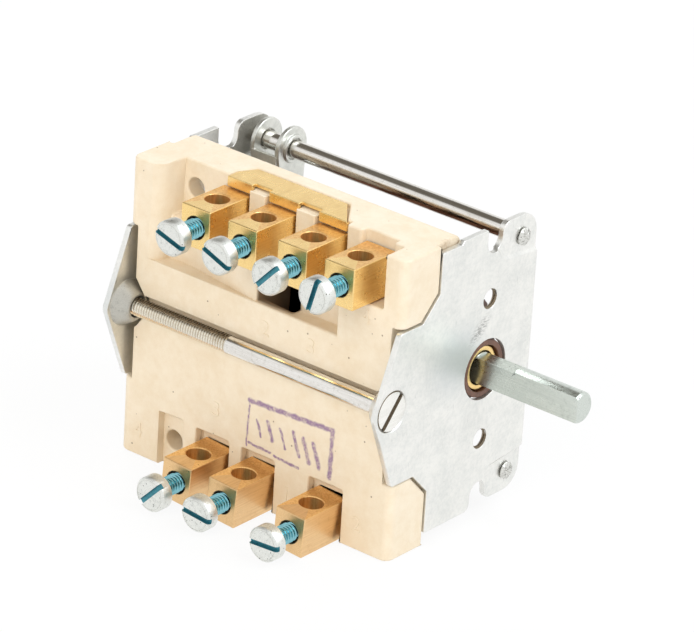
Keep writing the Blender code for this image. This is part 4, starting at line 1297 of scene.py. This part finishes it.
@dataclass(frozen=True)
class TieScrew:
    """Countersunk slotted screw through the channel, with a rolled thread at the rear."""

    head_t: float = 2.2
    shank_d: float = 3.5
    slot_w: float = 1.1
    slot_t: float = 0.9
    slot_deg: float = 50.0
    thread_start: float = 38.5
    pitch: float = 0.6
    thread_depth: float = 0.3

    def build(self) -> None:
        """Builds the screw."""
        box = DATUM.extent("tie_screw")
        front, rear = box.low.y, box.high.y
        x, _, z = box.middle
        head, shank = box.half[0], self.shank_d / 2
        core, start = shank - self.thread_depth, self.thread_start
        profile = [(0.0, front), (head - 0.35, front), (head - 0.08, front + 0.1),
                   (head, front + 0.25), (shank, front + self.head_t), (shank, start),
                   (core, start + 0.25), (core, rear - 0.3), (core - 0.4, rear), (0.0, rear)]
        section = [(core - 0.1, start - 0.3), (shank, start - 0.1), (core - 0.1, start + 0.1)]
        slot = block((-2 * head, front - 1.0, -self.slot_w / 2),
                     (2 * head, front + self.slot_t, self.slot_w / 2))
        rolled(slot, Axis.Y, Vector((0, 0, 0)), -self.slot_deg)
        bmesh.ops.translate(slot, verts=slot.verts, vec=(x, 0, z))
        solid = carved(turned(Axis.Y, (x, z), profile), slot)
        ridges = helix(Axis.Y, (x, z), section, self.pitch, (rear - 0.4 - start) / self.pitch,
                       material=1)
        # Painted shade: the core under the thread gets the darker valley finish, the head's rim and
        # the slot's sides the dark hole finish.
        for face in solid.faces:
            middle = face.calc_center_median()
            away = math.hypot(middle.x - x, middle.z - z)
            depth = middle.y - front
            if middle.y > start + 0.2:
                face.material_index = 2
            elif away > head - 0.2 or (depth < self.slot_t and abs(face.normal.y) < 0.1):
                face.material_index = 3
            elif depth < self.slot_t + 0.1:
                face.material_index = 4
        finishes = [FINISH.rod, FINISH.thread, FINISH.valley, FINISH.crevice, FINISH.tie_head]
        finish_piece("tie_screw_turned", merged(solid, ridges), finishes, BODY,
                     ["tie_screw"])


@dataclass(frozen=True)
class Rods:
    """The two rods with their hammered rivet ends."""

    rod_d: float = 3.5
    neck_d: float = 2.4
    head_t: float = 0.6
    shoulder: float = 1.8
    chamfer: float = 0.15
    dents: float = 0.2
    seed: int = 11

    def build(self) -> None:
        """Builds both rods."""
        for node in ("top_rod", "bottom_rod"):
            box = DATUM.extent(node)
            low, high = box.low.y, box.high.y
            body, neck, head = self.rod_d / 2, self.neck_d / 2, self.rod_d / 2 - 0.1
            front, rear = low + self.head_t, high - self.head_t
            half = [(0.0, low), (head * 0.45, low), (head * 0.8, low + 0.12), (head, front - 0.2),
                    (head, front), (neck, front), (neck, front + self.shoulder),
                    (body - self.chamfer, front + self.shoulder),
                    (body, front + self.shoulder + self.chamfer)]
            profile = half + [(radius, low + high - y) for radius, y in reversed(half)]
            rod = turned(Axis.Y, (box.middle[0], box.middle[2]), profile, 48)
            self.hammer(rod, front, rear)
            finish_piece(f"{node}_turned", rod, [FINISH.rod, FINISH.rivet], BODY, [node])

    def hammer(self, rod: BMesh, front: float, rear: float) -> None:
        """Dents the rivet ends and gives them their own finish.

        Args:
            rod: The rod's mesh.
            front: The front rivet ends here.
            rear: The rear rivet starts here.
        """
        draw = random.Random(self.seed)
        for vertex in rod.verts:
            if vertex.co.y < front - 0.05 or vertex.co.y > rear + 0.05:
                vertex.co += Vector(draw.uniform(-self.dents, self.dents) * share
                                    for share in (0.6, 0.5, 0.6))
        for face in rod.faces:
            middle = face.calc_center_median().y
            face.material_index = int(middle < front or middle > rear)


@dataclass(frozen=True)
class ShaftGroup:
    """Shaft, sleeve, cam drum, star and clip, which turn together."""

    sleeve_wall: float = 0.9
    lip: float = 0.2
    lip_corner: float = 0.06
    body: str = "rotor"

    def build(self) -> None:
        """Builds the group."""
        ease_copy("shaft", "ground", FINISH.shaft, self.body, 0.2, 3)
        self.sleeve()
        ease_copy("cam_drum", "moulding", FINISH.phenolic, self.body, 0.2)
        ease_copy("detent_star", "stamping", FINISH.plate, self.body, 0.15)
        ease_copy("shaft_clip", "ring", FINISH.spring, self.body, 0.12)

    def sleeve(self) -> None:
        """Builds the brass sleeve with its rounded lip."""
        box = DATUM.extent("shaft_sleeve")
        front, rear = box.low.y, box.high.y
        outer, lip, corner = box.half[0], self.lip, self.lip_corner
        inner = outer - self.sleeve_wall
        profile = [(inner + lip, front), (outer - lip, front), (outer - corner, front + corner),
                   (outer, front + lip), (outer, rear), (inner, rear), (inner, front + lip),
                   (inner + corner, front + corner), (inner + lip, front)]
        ring = turned(Axis.Y, (0.0, 0.0), profile)
        # Painted shade: the bore behind the lip gets the dark finish.
        for face in ring.faces:
            middle = face.calc_center_median()
            inside = math.hypot(middle.x, middle.z) < inner + 0.01
            face.material_index = int(inside and middle.y > front + lip)
        finish_piece("shaft_sleeve_turned", ring, [FINISH.brass, FINISH.crevice],
                     self.body, ["shaft_sleeve"])


@dataclass(frozen=True)
class DetentGroup:
    """The lever on the top rod, its roller, pin and spring."""

    wire_d: float = 0.6
    coil_d: float = 3.4
    turns: int = 22
    steps: int = 20
    top_radius: float = 1.5
    hook_length: float = 2.4
    rod_gap: float = 0.3

    def build(self) -> None:
        """Builds the group."""
        ease_copy("detent_lever", "pressing", FINISH.lever, "lever", 0.28, 3)
        ease_copy("roller_pin", "turned", FINISH.rod, "lever", 0.1)
        ease_copy("detent_roller", "turned", FINISH.rod, "roller", 0.15)
        self.spring()

    def spring(self) -> None:
        """Builds the tension spring between the lever's post and the bottom rod."""
        box, rod = DATUM.extent("detent_spring"), DATUM.extent("bottom_rod")
        half_wire, top_r = self.wire_d / 2, self.top_radius
        low_r = rod.half[0] + self.rod_gap + half_wire
        y = box.middle[1]
        bottom = Vector((rod.middle[0], y, rod.middle[2]))
        top = Vector((box.high.x - top_r - half_wire, y, box.high.z - top_r - half_wire))
        down = (bottom - top).normalized()
        across, depth = Vector((down.z, 0, -down.x)), Vector((0, 1, 0))
        start = top + down * (top_r + self.hook_length)
        end = bottom - down * (low_r + self.hook_length)

        def hook(centre: Vector, radius: float, first: float, step: float) -> list[Vector]:
            angles = (math.radians(first + step * k) for k in range(21))
            return [centre + (across * math.cos(a) - down * math.sin(a)) * radius for a in angles]

        points = hook(top, top_r, 250, -12.5)
        count = self.turns * self.steps
        for k in range(count + 1):
            angle = 2 * math.pi * k / self.steps
            centre = start + (end - start) * (k / count)
            points.append(centre + (across * math.cos(angle) + depth * math.sin(angle))
                          * (self.coil_d / 2))
        points += hook(bottom, low_r, 20, 14)
        spring = finish_piece("detent_spring_wire", wire(points, self.wire_d), [FINISH.spring],
                              None, ["detent_spring"])
        tuple(DATUM.to_frame() @ end)
        tuple(DATUM.to_frame() @ start)
        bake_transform(spring)


@dataclass(frozen=True)
class Terminals:
    """The clamp blocks in two rows, their backed-out screws, the busbar and the leaves."""

    wire_hole_d: float = 4.6
    wire_hole_from_end: float = 5.8
    upper_length: float = 11.7
    lower_past_hole: float = 6.18
    drill_reach: float = 9.0
    screw_hole_d: float = 4.4
    head_t: float = 2.6
    shank_d: float = 3.7
    pitch: float = 0.7
    thread_depth: float = 0.4
    slot_w: float = 1.0
    slot_t: float = 0.85
    edge: float = 0.22
    sharp_deg: float = 50.0
    low_roll: float = 3.6
    tang_w: float = 5.0
    tang_t: float = 1.2
    tang_below_top: float = 1.3
    tang_overlap: float = 0.4
    slot_deg: dict[str, float] = field(default_factory=lambda: {
        "1": -16.7, "2": -20.6, "3": 47.0, "4": 74.5, "p1": 46.0, "p2": -5.1, "p3": 3.6})

    def build(self) -> None:
        """Builds the rows, the busbar and the leaves."""
        for label in self.slot_deg:
            self.clamp_block(label)
            self.clamp_screw(label)
        ease_copy("busbar", "strip", FINISH.brass, BODY, 0.14)
        for number in range(1, 5):
            ease_copy(f"contact_leaf_{number}", "strip", FINISH.bronze, BODY, 0.12)

    def clamp_block(self, label: str) -> None:
        """Builds one block with its holes and tang.

        Args:
            label: The terminal's label.
        """
        box = DATUM.extent(f"terminal_{label}")
        end, (_, y, z) = box.low.x, box.middle
        _, half_y, half_z = DATUM.extent("terminal_1").half
        upper = not label.startswith("p")
        wire_x, wire_r = end + self.wire_hole_from_end, self.wire_hole_d / 2
        inner = end + self.upper_length if upper else wire_x + self.lower_past_hole
        bottom, top, screw_r = z - self.drill_reach, z + self.drill_reach, self.screw_hole_d / 2
        solid = carved(
            block((end, y - half_y, z - half_z), (inner, y + half_y, z + half_z)),
            turned(Axis.Z, (wire_x, y), [(0, bottom), (wire_r, bottom), (wire_r, top), (0, top)]),
            turned(Axis.X, (y, z), [(0, end - 2), (screw_r, end - 2), (screw_r, wire_x),
                                    (0, wire_x)], 48))
        # Painted shade: the screw hole's wall inside the block gets the dark finish.
        for face in solid.faces:
            middle = face.calc_center_median()
            beside = math.hypot(middle.x - wire_x, middle.y - y) < wire_r + 0.01
            around = math.hypot(middle.y - y, middle.z - z) < screw_r + 0.01
            face.material_index = 1 if beside else 2 if around and end + 0.01 < middle.x else 0
        tang_z = z if upper else z + half_z - self.tang_below_top
        tang = block((inner - self.tang_overlap, y - self.tang_w / 2, tang_z - self.tang_t / 2),
                     (box.high.x, y + self.tang_w / 2, tang_z + self.tang_t / 2))
        whole = merged(solid, tang)
        if not upper:
            rolled(whole, Axis.X, Vector((0, y, z)), self.low_roll)
        brass = FINISH.brass if upper else FINISH.warm_brass
        finish_piece(f"clamp_block_{label}", whole, [brass, FINISH.bore, FINISH.crevice],
                     BODY, [f"terminal_{label}"],
                     Rounding(self.edge, 3, self.sharp_deg))

    def clamp_screw(self, label: str) -> None:
        """Builds one slotted cheese head screw.

        Args:
            label: The terminal's label.
        """
        node = f"clamp_screw_{label}"
        box = DATUM.extent(node)
        top, tip, (_, y, z) = box.low.x, box.high.x, box.middle
        head, shank = box.half[1], self.shank_d / 2
        core, under = shank - self.thread_depth, top + self.head_t
        profile = [(0.0, top), (head - 0.62, top), (head - 0.59, top + 0.06),
                   (head - 0.53, top + 0.06), (head - 0.50, top), (head - 0.36, top + 0.01),
                   (head - 0.06, top + 0.32), (head, top + 0.42), (head, under - 0.12),
                   (head - 0.12, under), (core, under), (core, tip - 0.45), (core - 0.5, tip),
                   (0.0, tip)]
        slot = block((top - 1, y - 2 * head, z - self.slot_w / 2),
                     (top + self.slot_t, y + 2 * head, z + self.slot_w / 2))
        rolled(slot, Axis.X, Vector((0, y, z)), -self.slot_deg[label])
        solid = carved(turned(Axis.X, (y, z), profile), slot)
        # Painted shade: the slot's walls and floor and the core under the thread get the darker
        # blue finish, and the head's fine groove the darker rivet finish.
        for face in solid.faces:
            middle = face.calc_center_median()
            away = math.hypot(middle.y - y, middle.z - z)
            side = abs(face.normal.x) < 0.05 and away < head - 0.1
            floor = abs(middle.x - top - self.slot_t) < 0.02
            in_slot = top + 0.02 < middle.x < under - 0.2 and (side or floor)
            groove = top + 0.02 < middle.x < top + 0.05 and head - 0.62 < away < head - 0.5
            face.material_index = 2 if in_slot or middle.x > under + 0.02 else 3 if groove else 0
        section = [(core - 0.1, under - 0.02), (shank - 0.05, under + 0.16), (shank, under + 0.22),
                   (shank - 0.05, under + 0.28), (core - 0.1, under + 0.46)]
        ridges = helix(Axis.X, (y, z), section, self.pitch, (tip - 0.75 - under) / self.pitch,
                       material=1)
        finish_piece(f"{node}_turned", merged(solid, ridges),
                     [FINISH.head, FINISH.passivated, FINISH.slot, FINISH.rivet],
                     f"{node}_body", [node])


@dataclass(frozen=True)
class Lamp:
    """A square soft light: place in metres, side, power in watts, tint, and if metal shows it."""

    name: str
    place: Triple
    size: float
    energy: float
    colour: Triple
    mirrored: bool = False

    def build(self, aim: Vector) -> None:
        """Adds the light.

        Args:
            aim: The point that it faces, in metres.
        """
        light = bpy.data.lights.new(self.name, "AREA")
        light.shape = "SQUARE"
        light.size = self.size
        light.energy = self.energy
        light.color = self.colour
        holder = linked(self.name, light)
        holder.location = self.place
        holder.visible_glossy = self.mirrored
        holder.rotation_euler = (aim - Vector(self.place)).to_track_quat("-Z", "Y").to_euler()


@dataclass(frozen=True)
class Studio:
    """Pale floor, soft light and the camera at the photograph's angle."""

    floor_half: float = 3.0
    azimuth: float = -51.694
    elevation: float = 24.854
    roll: float = 3.59
    distance_mm: float = 900.4
    aim_mm: Triple = (3.156, 1.287, 36.769)
    lens: float = 258.25
    sensor: float = 36.0
    ambient: float = 0.66
    dark_way: Triple = (0.14, 0.56, 0.815)
    dark_level: float = 0.16
    white: Triple = (1.0, 1.0, 1.0)
    lamps: tuple[Lamp, ...] = (
        Lamp("key_light", (0.25, -1.1, 1.35), 1.1, 14.0, (0.93, 0.985, 1.04), True),
        Lamp("side_light", (-1.5, -0.25, 0.95), 1.0, 12.0, (1.0, 0.95, 0.87)),
        Lamp("rear_light", (0.9, 1.2, 1.1), 1.0, 9.0, (0.92, 1.0, 1.10)),
    )

    def build(self) -> None:
        """Builds the floor, the light and the camera."""
        self.floor()
        self.world()
        for lamp in self.lamps:
            lamp.build(Vector(self.aim_mm) * MM)
        self.camera()
        bpy.context.scene.view_settings.view_transform = "Standard"

    def floor(self) -> None:
        """A white floor that keeps a soft shadow."""
        bm = bmesh.new()
        bmesh.ops.create_grid(bm, x_segments=1, y_segments=1, size=self.floor_half)
        floor = shown("studio_floor", bm)
        material = bpy.data.materials.new("floor_white")
        material.use_nodes = True
        graph = Graph(material.node_tree)
        graph.tree.nodes.clear()
        ray = graph.add("ShaderNodeLightPath").outputs
        mirrored = graph.math("MAXIMUM", ray["Is Glossy Ray"], ray["Is Transmission Ray"])
        seen = graph.math("MAXIMUM", ray["Is Camera Ray"], mirrored)
        matt = graph.add("ShaderNodeBsdfDiffuse", {"Color": (0.9, 0.9, 0.89)})
        white = graph.add("ShaderNodeEmission", {"Color": self.white, "Strength": 1.0})
        blend = graph.add("ShaderNodeMixShader", {0: graph.times(seen, 0.9), 1: matt.outputs[0],
                                                  2: white.outputs[0]})
        graph.add("ShaderNodeOutputMaterial", {0: blend.outputs[0]})
        floor.data.materials.append(material)

    def world(self) -> None:
        """White to the camera, soft to the surfaces, with a darker patch for the metal."""
        world = bpy.data.worlds.new("studio_air")
        bpy.context.scene.world = world
        world.use_nodes = True
        graph = Graph(world.node_tree)
        graph.tree.nodes.clear()
        ray = graph.add("ShaderNodeLightPath").outputs
        way = graph.add("ShaderNodeTexCoord").outputs["Generated"]
        towards = tuple(Vector(self.dark_way).normalized())
        facing = graph.vector("DOT_PRODUCT", way, towards, out="Value")
        shade = tuple(self.dark_level * part for part in (1.0, 0.9, 0.75))
        tint = graph.mix(graph.span(facing, 0.78, 0.93), self.white, shade)

        def air(colour: Value, strength: float) -> NodeSocket:
            return graph.add("ShaderNodeBackground", {"Color": colour,
                                                      "Strength": strength}).outputs[0]

        inner = graph.add("ShaderNodeMixShader", {
            0: ray["Is Glossy Ray"], 1: air((1.0, 0.985, 0.96), self.ambient), 2: air(tint, 1.0)})
        clear = graph.math("MAXIMUM", ray["Is Camera Ray"], ray["Is Transmission Ray"])
        outer = graph.add("ShaderNodeMixShader", {0: clear, 1: inner.outputs[0],
                                                  2: air(self.white, 1.0)})
        graph.add("ShaderNodeOutputWorld", {0: outer.outputs[0]})

    def camera(self) -> None:
        """Places the camera where the photograph was taken from."""
        turn, rise, lean = (math.radians(v) for v in (self.azimuth, self.elevation, self.roll))
        back = Vector((math.sin(turn) * math.cos(rise), -math.cos(turn) * math.cos(rise),
                       math.sin(rise)))
        level_right = (-back).cross(Vector((0, 0, 1))).normalized()
        level_up = back.cross(level_right)
        right = level_right * math.cos(lean) + level_up * math.sin(lean)
        place = (Vector(self.aim_mm) + back * self.distance_mm) * MM
        data = bpy.data.cameras.new("photo_camera")
        data.lens = self.lens
        data.sensor_width = self.sensor
        camera = linked("photo_camera", data)
        axes = Matrix((right, back.cross(right), back)).transposed().to_4x4()
        camera.matrix_world = Matrix.Translation(place) @ axes
        bpy.context.scene.camera = camera


def main() -> None:
    """Builds the switch piece by piece, then the studio."""
    logging.basicConfig(level=logging.INFO, format="%(name)s: %(message)s")
    for assembly in (CeramicBody(), EndPlates(), TieScrew(), Rods(), ShaftGroup(), DetentGroup(),
                     Terminals()):
        log.info("building %s", type(assembly).__name__)
        assembly.build()
    Studio().build()


if __name__ == "__main__":
    main()
